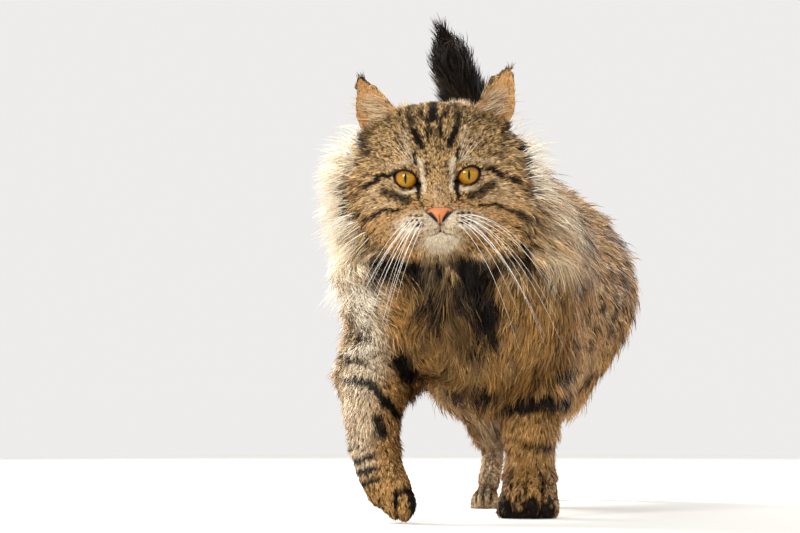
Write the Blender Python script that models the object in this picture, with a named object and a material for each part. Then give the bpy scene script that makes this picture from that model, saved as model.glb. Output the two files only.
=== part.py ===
"""A long-haired tabby cat walking, at life size, as a still model parted into named lengths.

Frame: metres, +Z up. The trunk lies along Y with the face toward -Y, and the animal's left is +X.
The origin is the centre of the bounding box's floor face. The outline is that of the coat's tips.
Tables of stations are in millimetres.
"""

import math

import bmesh
import bpy
from mathutils import Matrix, Vector

MM = 0.001

# Driving dimensions
GAP = 0.35 * MM            # clearance between neighbouring solids
VOXEL = 2.0 * MM           # cell of the remesh that blends the overlapping masses
SMOOTHING = 12             # passes over the whole remeshed surface
BODY_SMOOTHING = 50        # further passes, away from the face, the ears and the feet
BODY_TRIANGLES = 4600      # all the flesh together
EYE_RADIUS = 10.2 * MM     # eyeball
EYE_SPACING = 46.5 * MM    # between the centres of the two eyes
EYE_DEPTH = 5.2 * MM       # the eyeball's centre, behind the plane through the fronts of the sockets
HEAD_PLACE = Vector((-12, -265, 261)) * MM    # midway between the eyes
HEAD_TURN = math.radians(8.3)                 # the face looks to the animal's left of its own spine
HEAD_ROLL = math.radians(3.3)                 # the crown leans to the animal's right

HEAD_FRAME = (
    Matrix.Translation(HEAD_PLACE)
    @ Matrix.Rotation(HEAD_TURN, 4, "Z")
    @ Matrix.Rotation(-HEAD_ROLL, 4, "Y")
)

ACROSS = Vector((1, 0, 0))
ALONG = Vector((0, -1, 0))

# Stations: x, y, z of the centre, half-size across, half-size the other way
TRUNK = [
    (-2, -218, 172, 44, 50),
    (-2, -200, 180, 76, 74),
    (-3, -165, 189, 94, 93),
    (-3, -115, 194, 96, 97),
    (-2, -55, 190, 93, 95),
    (-1, 5, 186, 93, 94),
    (1, 60, 186, 97, 95),
    (2, 115, 188, 102, 99),
    (2, 160, 187, 103, 98),
    (1, 198, 188, 93, 87),
    (0, 226, 191, 68, 66),
    (0, 238, 196, 42, 44),
]
RUFF = [
    (-12, -196, 276, 58, 46),
    (-10, -200, 247, 80, 56),
    (-6, -206, 210, 92, 60),
    (-3, -204, 172, 95, 58),
    (-2, -194, 136, 84, 50),
    (-2, -180, 110, 46, 28),
]
NECK = [
    (-10, -225, 262, 66, 44),
    (-9, -185, 252, 76, 50),
    (-7, -130, 226, 84, 66),
    (-6, -80, 215, 70, 66),
]
TAIL = [
    (0, 190, 218, 48, 42),
    (-3, 238, 236, 32, 30),
    (-12, 274, 260, 25, 24),
    (-32, 300, 298, 24, 23),
    (-55, 308, 342, 24, 23),
    (-71, 302, 384, 22, 22),
    (-81, 288, 420, 18, 18),
    (-85, 279, 440, 10, 10),
]
FORELEG_LEFT = [
    (46, -140, 205, 38, 54),
    (53, -150, 155, 36, 50),
    (55, -164, 118, 30, 39),
    (51, -178, 88, 25.5, 29),
    (50, -187, 60, 21, 23),
    (50, -190, 38, 20, 21),
    (50, -194, 20, 22, 23),
]
FORELEG_RIGHT = [
    (-56, -150, 200, 38, 52),
    (-62, -182, 146, 35, 44),
    (-66, -228, 110, 29, 33),
    (-62, -262, 84, 24, 26),
    (-58, -284, 62, 20.5, 20),
    (-51, -297, 40, 18, 16),
    (-42, -304, 23, 17.5, 14.5),
]
HINDLEG_RIGHT = [
    (-44, 130, 190, 50, 72),
    (-46, 96, 150, 44, 66),
    (-36, 62, 112, 28, 48),
    (-20, 62, 80, 17, 30),
    (-12, 66, 52, 10.5, 17),
    (-10.5, 47, 32, 9.5, 13),
    (-10.5, 24, 20, 9, 11.5),
]
HINDLEG_LEFT = [
    (46, 136, 190, 50, 72),
    (44, 164, 150, 42, 62),
    (30, 204, 112, 27, 42),
    (15, 240, 84, 18, 26),
    (10, 256, 62, 15, 18.5),
    (10, 248, 40, 13.5, 15),
    (11, 232, 22, 14, 13),
]
BREECHES = [
    (42, 165, 185, 56, 66),
    (38, 200, 150, 46, 50),
    (26, 232, 116, 28, 32),
    (16, 248, 88, 16, 20),
]
BREECHES_RIGHT = [
    (-42, 140, 180, 56, 70),
    (-38, 130, 145, 44, 58),
    (-26, 98, 112, 28, 38),
    (-14, 78, 80, 15, 22),
]

# Planted paws: centre and radii of the palm; middle of the row of toes, their spacing and radii
PAWS = [
    ((50, -197, 15), (22.5, 24, 17), (50, -211, 8.8), 11.5, (8.2, 12, 10.5)),
    ((-10.5, 10, 9.5), (10, 20, 11), (-10.5, -2, 5.8), 5.4, (4.4, 10, 8)),
    ((11, 224, 10.4), (15.5, 20, 12), (11, 213, 6.2), 8.2, (6, 10, 8.6)),
]
TOE_PLACES = (-1.5, -0.5, 0.5, 1.5)  # of the four toes, in spacings from the middle
OUTER_TOE_BACK = 5.0                # how far the outer toes stand behind the middle pair
# The lifted paw's toes: middle of the row, spacing, radii, height of each above the middle, and lean
LIFTED_TOES = (-38, -307, 13.3)
LIFTED_SPACING = 7.4
LIFTED_RADII = (6.0, 7.2, 12.0)
LIFTED_RISES = (6, 1, -1, 2)
LIFTED_LEAN = math.radians(-14)

# Ears, in the head's frame and in millimetres
EAR_ROOT = 34                       # height of the root above the eyes
EAR_HEIGHT = 49                     # root to tip
EAR_BACK = 26                       # the root's place behind the eyes
EAR_FORWARD = 4                     # how far the tip comes forward of that
EAR_INNER = 20                      # inner edge at the root, from the middle of the head
EAR_INNER_SLOPE = 34                # and how much further out that edge is at the tip
EAR_OUTER = 61                      # outer edge
EAR_OUTER_SLOPE = 2.5               # how much further in that edge is at the tip
EAR_BULGE = 3                       # bulge of the outer edge
EAR_ROOT_FOLD = 10                  # fold of the outer edge in to the head at its very root
EAR_CUP = 11                        # depth of the hollow
EAR_LEAN = 6                        # the outer edge stands this far behind the inner one at the root
EAR_THICKNESS = 6
LEFT_EAR_SPREAD = (4.5, 1.5)        # the left ear turns out further: near its root, and toward its tip

# Nose leather, in the head's frame: height, half-width and bulge of each section; plane of its back
NOSE_SECTIONS = [
    (-25.0, 7.5, 0.6),
    (-27.0, 9.2, 3.2),
    (-30.0, 8.6, 4.2),
    (-33.5, 5.0, 3.6),
    (-36.0, 2.4, 1.2),
]
NOSE_BACK = -28.0
NOSE_SIDES = 12

# Head: stations from the muzzle back, in the head's own frame with the eyes' midpoint at the origin.
# y, z of the centre, half-width, half-height
SKULL = [
    (-24, -31, 11, 9),
    (-21, -31, 17, 13),
    (-15, -29, 25, 21),
    (-7, -25, 33, 31),
    (2, -20, 43, 40),
    (12, -15, 54, 53),
    (24, -11, 67, 65),
    (40, -10, 80, 70),
    (56, -12, 90, 69),
    (70, -13, 92, 65),
]

# Soft pushes that shape the face, in the head's frame and in millimetres:
# centre, radii of the ellipsoid of influence, push at its centre; each is mirrored to the other side
FACE_PUSHES = [
    ((23, -2, 0), (19, 30, 15), (0, 5, 0)),
    ((12.5, -12, -12), (8, 26, 14), (0, 2, 0)),
    ((24, 2, 17), (19, 30, 10), (0, -3, 0)),
    ((0, -18, -13), (9, 26, 19), (0, -3, 0)),
    ((37, 0, -26), (18, 30, 18), (0, -3, 0)),
]


def smooth_rows(rows, steps=5):
    """Catmull-Rom through the stations, each a tuple of numbers, with steps spans between two."""
    ends = [rows[0]] + list(rows) + [rows[-1]]
    result = []
    for a, b, c, d in zip(ends, ends[1:], ends[2:], ends[3:]):
        for i in range(steps):
            t = i / steps
            weights = (
                (-t + 2 * t**2 - t**3) / 2,
                (2 - 5 * t**2 + 3 * t**3) / 2,
                (t + 4 * t**2 - 3 * t**3) / 2,
                (t**3 - t**2) / 2,
            )
            result.append([sum(w * v for w, v in zip(weights, group)) for group in zip(a, b, c, d)])
    result.append(list(rows[-1]))
    return result


def sweep(bm, rows, sides=28, dome=0.8, upright=False):
    """A closed tube of elliptic rings through rows of x, y, z, half-side, half-other, in millimetres.

    The rings stand square to the path, or all in upright planes along Y.
    """
    path = smooth_rows(rows)
    centres = [Vector(row[:3]) for row in path]
    rings = []
    for i, row in enumerate(path):
        tangent = (centres[min(i + 1, len(path) - 1)] - centres[max(i - 1, 0)]).normalized()
        if upright:
            tangent = -ALONG
        across = (ACROSS - tangent * ACROSS.dot(tangent)).normalized()
        rings.append((centres[i], across * row[3], tangent.cross(across) * row[4], tangent))
    rounded = []
    for ring, sign in ((rings[0], -1), (rings[-1], 1)):
        centre, a, b, tangent = ring
        reach = dome * min(a.length, b.length)
        cap = []
        for step in (1, 2, 3):
            angle = math.radians(28 * step)
            shrink = math.cos(angle)
            cap.append((centre + tangent * sign * reach * math.sin(angle), a * shrink, b * shrink, tangent))
        rounded.append(cap)
    rings = rounded[0][::-1] + rings + rounded[1]
    loops = []
    for centre, a, b, _ in rings:
        angles = [2 * math.pi * k / sides for k in range(sides)]
        points = [centre + a * math.cos(t) + b * math.sin(t) for t in angles]
        loops.append([bm.verts.new(p * MM) for p in points])
    for lower, upper in zip(loops, loops[1:]):
        for k in range(sides):
            n = (k + 1) % sides
            bm.faces.new((lower[k], lower[n], upper[n], upper[k]))
    bm.faces.new(loops[0][::-1])
    bm.faces.new(loops[-1])


def ball(bm, centre, radii, frame=Matrix.Identity(4), turn=Matrix.Identity(4)):
    """An ellipsoid, with centre and radii in millimetres of the given frame."""
    size = Matrix.Diagonal((*(Vector(radii) * MM), 1))
    place = frame @ Matrix.Translation(Vector(centre) * MM) @ turn @ size
    bmesh.ops.create_uvsphere(bm, u_segments=28, v_segments=18, radius=1, matrix=place)


def paw(bm, palm, palm_radii, centre, spacing, radii):
    """A palm and four toes side by side, the middle pair ahead of the outer pair."""
    ball(bm, palm, palm_radii)
    for place in TOE_PLACES:
        back = OUTER_TOE_BACK if abs(place) > 1 else 0.0
        ball(bm, Vector(centre) + ACROSS * spacing * place - ALONG * back, radii)


def add_legs(bm):
    """The four legs, three planted and the right foreleg swinging forward with its wrist flexed."""
    for rows in (FORELEG_LEFT, FORELEG_RIGHT, BREECHES, BREECHES_RIGHT, HINDLEG_RIGHT, HINDLEG_LEFT):
        sweep(bm, rows)
    for palm, palm_radii, centre, spacing, radii in PAWS:
        paw(bm, palm, palm_radii, centre, spacing, radii)
    for place, rise in zip(TOE_PLACES, LIFTED_RISES):
        middle = Vector(LIFTED_TOES) + Vector((LIFTED_SPACING * place, 0, rise))
        ball(bm, middle, LIFTED_RADII, turn=Matrix.Rotation(LIFTED_LEAN, 4, "Y"))


def add_head(bm):
    """Skull, muzzle and chin, with the long fur of the cheeks included."""
    rows = [(0, y, z, width, height) for y, z, width, height in SKULL]
    head = bmesh.new()
    sweep(head, rows, sides=36, upright=True)
    for side in (-1, 1):
        ball(head, (side * 10.5, -17, -36), (17, 12.5, 12))
    ball(head, (0, -12, -47), (14, 12, 8.5))
    ball(head, (0, -20, -27), (11, 9, 8))
    ball(head, (0, 36, 29), (48, 33, 33))
    head.transform(HEAD_FRAME)
    mesh = bpy.data.meshes.new("head_shape")
    head.to_mesh(mesh)
    bm.from_mesh(mesh)
    head.free()


def shape_face(body):
    """Sinks the eye sockets and the sides of the nose, and raises the brows, cheeks and bridge."""
    to_head = HEAD_FRAME.inverted()
    turn = HEAD_FRAME.to_3x3()
    for vertex in body.data.vertices:
        place = (to_head @ vertex.co) / MM
        if place.y > 40 or place.z < -75:
            continue
        shift = Vector()
        for centre, radii, push in FACE_PUSHES:
            for side in (-1, 1) if centre[0] else (1,):
                offset = [(p - c) / r for p, c, r in zip(place, (side * centre[0], *centre[1:]), radii)]
                distance = sum(o * o for o in offset)
                if distance < 1:
                    shift += Vector((side * push[0], push[1], push[2])) * (1 - distance) ** 2
        vertex.co += turn @ shift * MM


def add_ear(bm, side):
    """A cupped triangle, wide at its root and open to the front, with its outer edge upright."""
    ear = bmesh.new()
    rows = 10
    columns = 12
    layers = []
    for depth in (0, EAR_THICKNESS):
        layer = []
        for i in range(rows + 1):
            t = i / rows
            flare = 0
            if side > 0:
                flare = LEFT_EAR_SPREAD[0] * min(t / 0.4, 1) + LEFT_EAR_SPREAD[1] * t
            inner = EAR_INNER + EAR_INNER_SLOPE * t**1.85 + flare
            fold = EAR_ROOT_FOLD * (1 - t) ** 6
            outer = EAR_OUTER - EAR_OUTER_SLOPE * t + EAR_BULGE * t * (1 - t) - fold + flare
            middle = side * (inner + outer) / 2
            centre = Vector((middle, EAR_BACK - EAR_FORWARD * t, EAR_ROOT + t * EAR_HEIGHT))
            width = (outer - inner) / 2
            row = []
            for j in range(columns + 1):
                s = 2 * j / columns - 1
                bend = EAR_CUP * (1 - t) ** 0.6 * (1 - s * s)
                lean = EAR_LEAN * side * s * (1 - t)
                offset = Vector((s * width, bend + lean + depth * (1 - 0.45 * t) - 2, 0))
                row.append(ear.verts.new(centre + offset))
            layer.append(row)
        layers.append(layer)
    front, back = layers
    for i in range(rows):
        for j in range(columns):
            ear.faces.new((front[i][j], front[i + 1][j], front[i + 1][j + 1], front[i][j + 1]))
            ear.faces.new((back[i][j], back[i][j + 1], back[i + 1][j + 1], back[i + 1][j]))
        ear.faces.new((front[i][0], back[i][0], back[i + 1][0], front[i + 1][0]))
        ear.faces.new((front[i][-1], front[i + 1][-1], back[i + 1][-1], back[i][-1]))
    for j in range(columns):
        ear.faces.new((front[0][j], front[0][j + 1], back[0][j + 1], back[0][j]))
        ear.faces.new((front[-1][j], back[-1][j], back[-1][j + 1], front[-1][j + 1]))
    ear.transform(HEAD_FRAME @ Matrix.Scale(MM, 4))
    mesh = bpy.data.meshes.new("ear_shape")
    ear.to_mesh(mesh)
    bm.from_mesh(mesh)
    ear.free()


def bake(thing):
    """Applies the object's modifiers and drops them."""
    graph = bpy.context.evaluated_depsgraph_get()
    graph.update()
    mesh = bpy.data.meshes.new_from_object(thing.evaluated_get(graph))
    thing.modifiers.clear()
    thing.data = mesh
    return thing


def mesh_object(name, bm):
    """Makes an object of the bmesh and frees it."""
    mesh = bpy.data.meshes.new(name)
    bm.to_mesh(mesh)
    bm.free()
    thing = bpy.data.objects.new(name, mesh)
    bpy.context.collection.objects.link(thing)
    return thing


def weigh(body, name, weight):
    """A vertex group whose weights are weight(place in the head's frame, place in the world), in mm."""
    group = body.vertex_groups.new(name=name)
    to_head = HEAD_FRAME.inverted()
    for vertex in body.data.vertices:
        amount = weight((to_head @ vertex.co) / MM, vertex.co / MM)
        group.add([vertex.index], amount, "REPLACE")
    return name


def on_face(head):
    return head.y < 18 and abs(head.x) < 46 and -60 < head.z < 26


def on_ear(head):
    return head.z > 42 and abs(head.x) > 22 and head.y < 46


def broad(head, world):
    """1 where the body may be smoothed broadly, 0 on the face, the ears and the feet."""
    return 0.0 if on_face(head) or on_ear(head) or world.z < 34 else 1.0


def coarse(head, world):
    """How readily the surface may be simplified: least on the face, the ears and the feet."""
    if on_face(head):
        return 0.4
    return 0.7 if on_ear(head) else 0.7 if world.z < 36 else 1.0


def flesh():
    """The whole animal as one closed, blended and simplified surface."""
    bm = bmesh.new()
    for rows in (TRUNK, RUFF, NECK, TAIL):
        sweep(bm, rows)
    add_legs(bm)
    add_head(bm)
    for side in (-1, 1):
        add_ear(bm, side)
    bmesh.ops.recalc_face_normals(bm, faces=bm.faces)
    body = mesh_object("flesh", bm)
    remesh = body.modifiers.new("blend", "REMESH")
    remesh.mode = "VOXEL"
    remesh.voxel_size = VOXEL
    bake(body)
    weigh(body, "broad", broad)
    for name, passes, group in (("all", SMOOTHING, ""), ("body", BODY_SMOOTHING, "broad")):
        smooth = body.modifiers.new(name, "SMOOTH")
        smooth.factor = 0.5
        smooth.iterations = passes
        smooth.vertex_group = group
    bake(body)
    shape_face(body)
    reduce = body.modifiers.new("reduce", "DECIMATE")
    reduce.ratio = BODY_TRIANGLES / (2 * len(body.data.polygons))
    reduce.vertex_group = weigh(body, "coarse", coarse)
    bake(body)
    body.vertex_groups.clear()
    return body


def block(lo, hi, frame=Matrix.Identity(4)):
    """A cutter: the box between two corners in millimetres of the frame."""
    bm = bmesh.new()
    middle = (Vector(lo) + Vector(hi)) / 2
    size = Vector(hi) - Vector(lo)
    place = frame @ Matrix.Translation(middle * MM) @ Matrix.Diagonal((*(size * MM), 1))
    bmesh.ops.create_cube(bm, size=1, matrix=place)
    return as_cutter(mesh_object("cutter", bm))


def as_cutter(thing):
    thing.hide_render = True
    thing.display_type = "WIRE"
    return thing


def boolean(thing, cutter, operation):
    """Cuts thing with the cutter, exactly, and applies the result."""
    cut = thing.modifiers.new("cut", "BOOLEAN")
    cut.operation = operation
    cut.object = cutter
    bake(thing)


def part_off(body, name, lo, hi, frame=Matrix.Identity(4)):
    """Takes the flesh inside a box away as a node of its own, and leaves GAP around it."""
    margin = Vector((1, 1, 1)) * GAP / MM / 2
    inner = block(Vector(lo) + margin, Vector(hi) - margin, frame)
    outer = block(Vector(lo) - margin, Vector(hi) + margin, frame)
    piece = bpy.data.objects.new(name, body.data.copy())
    bpy.context.collection.objects.link(piece)
    boolean(piece, inner, "INTERSECT")
    boolean(body, outer, "DIFFERENCE")
    for cutter in (inner, outer):
        bpy.data.objects.remove(cutter)
    return piece


def plane_frame(point, direction):
    """A frame at point (mm) whose Z runs along direction."""
    turn = Vector(direction).to_track_quat("Z", "X").to_matrix().to_4x4()
    return Matrix.Translation(Vector(point) * MM) @ turn


def eyeball(name, side, grow=0.0):
    """A sphere in the head, with its poles to the front and back."""
    bm = bmesh.new()
    centre = Matrix.Translation((side * EYE_SPACING / 2, EYE_DEPTH, 0))
    place = HEAD_FRAME @ centre @ Matrix.Rotation(math.pi / 2, 4, "X")
    bmesh.ops.create_uvsphere(bm, u_segments=16, v_segments=10, radius=EYE_RADIUS + grow, matrix=place)
    return mesh_object(name, bm)


def nose_leather(name, grow=0.0):
    """The bare tip of the nose: a wedge that is wide above and narrows to the lip."""
    bm = bmesh.new()
    middle = NOSE_SECTIONS[len(NOSE_SECTIONS) // 2][0]
    rings = []
    for z, half, bulge in NOSE_SECTIONS:
        row = []
        for k in range(NOSE_SIDES):
            angle = 2 * math.pi * k / NOSE_SIDES
            x = (half + grow) * math.cos(angle)
            y = NOSE_BACK - (bulge + grow) * math.sin(angle)
            row.append(bm.verts.new(Vector((x, y, z + math.copysign(grow, z - middle)))))
        rings.append(row)
    for upper, lower in zip(rings, rings[1:]):
        for k in range(NOSE_SIDES):
            n = (k + 1) % NOSE_SIDES
            bm.faces.new((upper[k], upper[n], lower[n], lower[k]))
    bm.faces.new(rings[0])
    bm.faces.new(rings[-1][::-1])
    bmesh.ops.recalc_face_normals(bm, faces=bm.faces)
    bm.transform(HEAD_FRAME @ Matrix.Scale(MM, 4))
    return mesh_object(name, bm)


def sink(head, recess):
    """Cuts the recess out of the head."""
    boolean(head, as_cutter(recess), "DIFFERENCE")
    bpy.data.objects.remove(recess)


def part_feet_and_legs(body):
    """Feet first, then what each foot hangs from, so that no box reaches past its own limb."""
    floor = block((-400, -500, -60), (400, 500, 0))
    boolean(body, floor, "DIFFERENCE")
    bpy.data.objects.remove(floor)
    elbow = plane_frame((-66, -226, 112), (0.02, -0.78, -0.62))
    boxes = [
        ("forepaw_left", (15, -250, -5), (85, -150, 33)),
        ("foreleg_left_lower", (12, -240, 33), (100, -110, 96)),
        ("foreleg_left_upper", (36, -260, 96), (150, -100, 196)),
        ("forepaw_right", (-100, -350, -5), (0, -262, 54)),
        ("foreleg_right_lower", (-60, -60, 0), (60, 60, 120), elbow),
        ("foreleg_right_upper", (-150, -270, 82), (-36, -100, 196)),
        ("hindpaw_right", (-40, -30, -5), (25, 36, 30)),
        ("hindleg_right_metatarsus", (-45, 0, -5), (22, 110, 60)),
        ("hindleg_right_shank", (-90, 0, 60), (6, 130, 96)),
        ("hindleg_right_thigh", (-150, 30, 96), (-30, 196, 196)),
        ("hindpaw_left", (-20, 180, -5), (50, 240, 30)),
        ("hindleg_left_metatarsus", (-20, 190, -5), (50, 300, 64)),
        ("hindleg_left_shank", (-6, 170, 64), (90, 300, 98)),
        ("hindleg_left_thigh", (30, 90, 98), (150, 236, 196)),
    ]
    for name, lo, hi, *frame in boxes:
        part_off(body, name, lo, hi, *frame)


def part_tail(body):
    """Three lengths, each cut off square to the tail."""
    lengths = [
        ("tail_tip", (-79, 291, 408), (-0.25, -0.35, 0.9), 80),
        ("tail_middle", (-48, 306, 328), (-0.44, 0.1, 0.9), 150),
        ("tail_base", (-5, 252, 244), (-0.28, 0.85, 0.45), 200),
    ]
    for name, point, direction, length in lengths:
        part_off(body, name, (-150, -150, 0), (150, 150, length), plane_frame(point, direction))


def part_head(body):
    """The head in front of a plane that slopes from the nape to under the chin, then its own pieces."""
    back = plane_frame((-13, -226, 255), (0, -0.844, 0.537))
    head = part_off(body, "head", (-170, -75, 0), (170, 170, 170), back)
    for side, name in ((-1, "ear_right"), (1, "ear_left")):
        slope = Matrix.Rotation(math.radians(side * 24), 4, "Y")
        root = HEAD_FRAME @ Matrix.Translation(Vector((side * 42, 22, 47)) * MM) @ slope
        part_off(head, name, (-34, -32, 0), (34, 30, 60), root)
    part_off(head, "jaw", (-17, -40, -62), (17, -5, -44.5), HEAD_FRAME)
    for side, name in ((-1, "eye_right"), (1, "eye_left")):
        eyeball(name, side)
        sink(head, eyeball("socket", side, GAP))
    nose_leather("nose")
    sink(head, nose_leather("recess", GAP / MM))


def part_trunk(body):
    """What is left, parted across the trunk; the last of it is the rump."""
    neck_frame = plane_frame((-10, -160, 262), (0, -0.628, 0.778))
    part_off(body, "neck", (-200, -200, 0), (200, 200, 300), neck_frame)
    part_off(body, "chest", (-200, -400, -20), (200, -62, 500))
    part_off(body, "loin", (-200, -62, -20), (200, 88, 500))
    body.name = "rump"


COLOURS = {
    "eye": (0.72, 0.40, 0.05, 0.2),
    "nose": (0.62, 0.22, 0.12, 0.5),
    "tail": (0.03, 0.025, 0.02, 0.9),
    "": (0.26, 0.19, 0.12, 0.9),
}


def finish(thing):
    """Gives the node its material."""
    key = next(k for k in COLOURS if thing.name.startswith(k))
    *colour, roughness = COLOURS[key]
    material = bpy.data.materials.new(thing.name)
    material.use_nodes = True
    shader = material.node_tree.nodes["Principled BSDF"]
    shader.inputs["Base Color"].default_value = (*colour, 1)
    shader.inputs["Roughness"].default_value = roughness
    thing.data.materials.clear()
    thing.data.materials.append(material)


def centre_on_floor():
    """Moves every node so that the origin is the centre of the bounding box's floor face."""
    corners = [v.co for thing in bpy.data.objects for v in thing.data.vertices]
    shift = Vector((
        -(min(c.x for c in corners) + max(c.x for c in corners)) / 2,
        -(min(c.y for c in corners) + max(c.y for c in corners)) / 2,
        0,
    ))
    for thing in bpy.data.objects:
        thing.data.transform(Matrix.Translation(shift))
    return shift


def main():
    for thing in list(bpy.data.objects):
        bpy.data.objects.remove(thing)
    body = flesh()
    part_head(body)
    part_tail(body)
    part_feet_and_legs(body)
    part_trunk(body)
    for thing in bpy.data.objects:
        finish(thing)
    return centre_on_floor()


SHIFT = main()
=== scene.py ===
import math

import bmesh
import bpy
import numpy as np
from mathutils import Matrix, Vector
from mathutils.bvhtree import BVHTree
from mathutils.kdtree import KDTree


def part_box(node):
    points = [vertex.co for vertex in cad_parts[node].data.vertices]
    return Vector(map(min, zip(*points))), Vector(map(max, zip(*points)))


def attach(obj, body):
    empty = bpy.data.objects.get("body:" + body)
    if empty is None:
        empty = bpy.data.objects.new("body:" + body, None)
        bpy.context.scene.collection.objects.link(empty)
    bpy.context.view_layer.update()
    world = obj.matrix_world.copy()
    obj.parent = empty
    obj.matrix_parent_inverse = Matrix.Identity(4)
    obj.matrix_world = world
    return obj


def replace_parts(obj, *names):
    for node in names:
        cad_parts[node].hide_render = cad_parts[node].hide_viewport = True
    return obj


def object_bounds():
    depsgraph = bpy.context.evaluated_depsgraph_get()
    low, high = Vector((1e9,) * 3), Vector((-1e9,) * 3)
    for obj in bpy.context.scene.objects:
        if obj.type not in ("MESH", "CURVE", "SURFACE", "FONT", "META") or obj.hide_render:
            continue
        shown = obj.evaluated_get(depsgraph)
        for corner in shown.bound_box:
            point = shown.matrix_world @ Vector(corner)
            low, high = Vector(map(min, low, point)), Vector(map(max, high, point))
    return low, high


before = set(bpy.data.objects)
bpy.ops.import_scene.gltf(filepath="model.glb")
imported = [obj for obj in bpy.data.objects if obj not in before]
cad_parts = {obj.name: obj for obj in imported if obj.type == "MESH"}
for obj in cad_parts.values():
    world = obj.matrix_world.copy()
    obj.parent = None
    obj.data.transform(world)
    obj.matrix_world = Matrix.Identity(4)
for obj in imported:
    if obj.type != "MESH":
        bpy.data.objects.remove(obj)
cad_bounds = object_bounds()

# A still, long-haired brown tabby cat, walking.
# Lengths are in millimetres until a mesh is written, in metres.
MM = 0.001
SEED = 11

# The skin's first grain, and the swelling that closes the gaps between the nodes.
SKIN_VOXEL = 2.4
NODE_SWELL = 0.4
EYE_NODES = ("eye_left", "eye_right")
BARE_NODES = EYE_NODES + ("nose",)

rng = np.random.default_rng(SEED)


# ---------------------------------------------------------------- small sums

def unit(rows):
    """Each row at a length of 1."""
    size = np.linalg.norm(rows, axis=-1, keepdims=True)
    return rows / np.maximum(size, 1e-9)


def ease(low, high, value):
    """0 at low and 1 at high, smooth between them and level beyond."""
    t = np.clip((value - low) / (high - low), 0.0, 1.0)
    return t * t * (3.0 - 2.0 * t)


def hill(value, centre, width):
    """1 at the centre, falling away smoothly on both sides."""
    return np.exp(-(((value - centre) / width) ** 2))


def laid_over(under, share, over):
    """Over where share is 1, under where it is 0."""
    return under * (1 - share) + share * over


CELL_FACTORS = (374761393, 668265263, 1442695041)
SEED_FACTOR = 974634777
MIX_FACTOR = 1274126177
WORD = 0xFFFFFFFF
HALF_WORD = 0xFFFF


def lattice(cell, seed):
    """A fixed value between 0 and 1 for each cell of a grid, as if drawn at random."""
    mixed = cell[..., 0] * CELL_FACTORS[0] + cell[..., 1] * CELL_FACTORS[1]
    mixed = mixed + cell[..., 2] * CELL_FACTORS[2] + seed * SEED_FACTOR
    mixed = mixed & WORD
    mixed = ((mixed ^ (mixed >> 13)) * MIX_FACTOR) & WORD
    return ((mixed ^ (mixed >> 16)) & HALF_WORD) / HALF_WORD


def noise(points, size, seed):
    """Smooth values between -1 and 1, with lumps about size across."""
    place = points / size
    cell = np.floor(place).astype(np.int64)
    part = place - cell
    part = part * part * (3.0 - 2.0 * part)
    total = np.zeros(len(points))
    for dx in (0, 1):
        for dy in (0, 1):
            for dz in (0, 1):
                weight = np.abs(1 - dx - part[:, 0])
                weight = weight * np.abs(1 - dy - part[:, 1])
                weight = weight * np.abs(1 - dz - part[:, 2])
                total += weight * lattice(cell + (dx, dy, dz), seed)
    return total * 2.0 - 1.0


# ------------------------------------------------------------ places on the cat

def node_box(name):
    lo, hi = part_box(name)
    return np.array(lo) / MM, np.array(hi) / MM


def node_centre(name):
    lo, hi = node_box(name)
    return (lo + hi) / 2


PAWS = ("forepaw_left", "forepaw_right", "hindpaw_left", "hindpaw_right")
EYE_DEPTH = 5.2
EYE_SIDES = {"eye_left": 1.0, "eye_right": -1.0}
eye_centres = {name: node_centre(name) for name in EYE_NODES}
EYE_RADIUS = float(np.ptp(np.array(node_box("eye_left")), axis=0).mean() / 2)

across = unit(eye_centres["eye_left"] - eye_centres["eye_right"])
upward = unit(np.array([0.0, 0.0, 1.0]) - across * across[2])
backward = np.cross(upward, across)
HEAD_AXES = np.array([across, backward, upward])
HEAD_ORIGIN = sum(eye_centres.values()) / 2 - backward * EYE_DEPTH


def to_head(points):
    """Into the head's frame: across to the cat's left, back, and up, from between the eyes."""
    return (points - HEAD_ORIGIN) @ HEAD_AXES.T


def from_head(points):
    return np.asarray(points) @ HEAD_AXES + HEAD_ORIGIN


# --------------------------------------------------------------- mesh helpers

def link(name, mesh):
    piece = bpy.data.objects.new(name, mesh)
    bpy.context.scene.collection.objects.link(piece)
    return piece


def read_points(mesh):
    flat = np.empty(len(mesh.vertices) * 3, np.float32)
    mesh.vertices.foreach_get("co", flat)
    return flat.reshape(-1, 3).astype(float) / MM


def write_points(mesh, points):
    mesh.vertices.foreach_set("co", (points * MM).astype(np.float32).ravel())
    mesh.update()


def read_triangles(mesh):
    flat = np.empty(len(mesh.polygons) * 3, np.int32)
    mesh.polygons.foreach_get("vertices", flat)
    return flat.reshape(-1, 3)


def read_normals(mesh):
    flat = np.empty(len(mesh.vertices) * 3, np.float32)
    mesh.vertex_normals.foreach_get("vector", flat)
    return flat.reshape(-1, 3).astype(float)


def write_attribute(mesh, name, *shares):
    """Up to three shares for each vertex, kept as a colour."""
    values = np.zeros((len(mesh.vertices), 4))
    for column, share in enumerate(shares):
        values[:, column] = share
    values[:, 3] = 1.0
    layer = mesh.attributes.new(name, "FLOAT_COLOR", "POINT")
    layer.data.foreach_set("color", values.astype(np.float32).ravel())


def worked_in(piece):
    """A new mesh of the piece with its modifiers, or its curve's thickness, worked in."""
    evaluated = piece.evaluated_get(bpy.context.evaluated_depsgraph_get())
    return bpy.data.meshes.new_from_object(evaluated)


def smooth_shade(mesh):
    mesh.polygons.foreach_set("use_smooth", np.ones(len(mesh.polygons), bool))


def neighbours(mesh):
    flat = np.empty(len(mesh.edges) * 2, np.int32)
    mesh.edges.foreach_get("vertices", flat)
    return flat.reshape(-1, 2)


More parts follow.
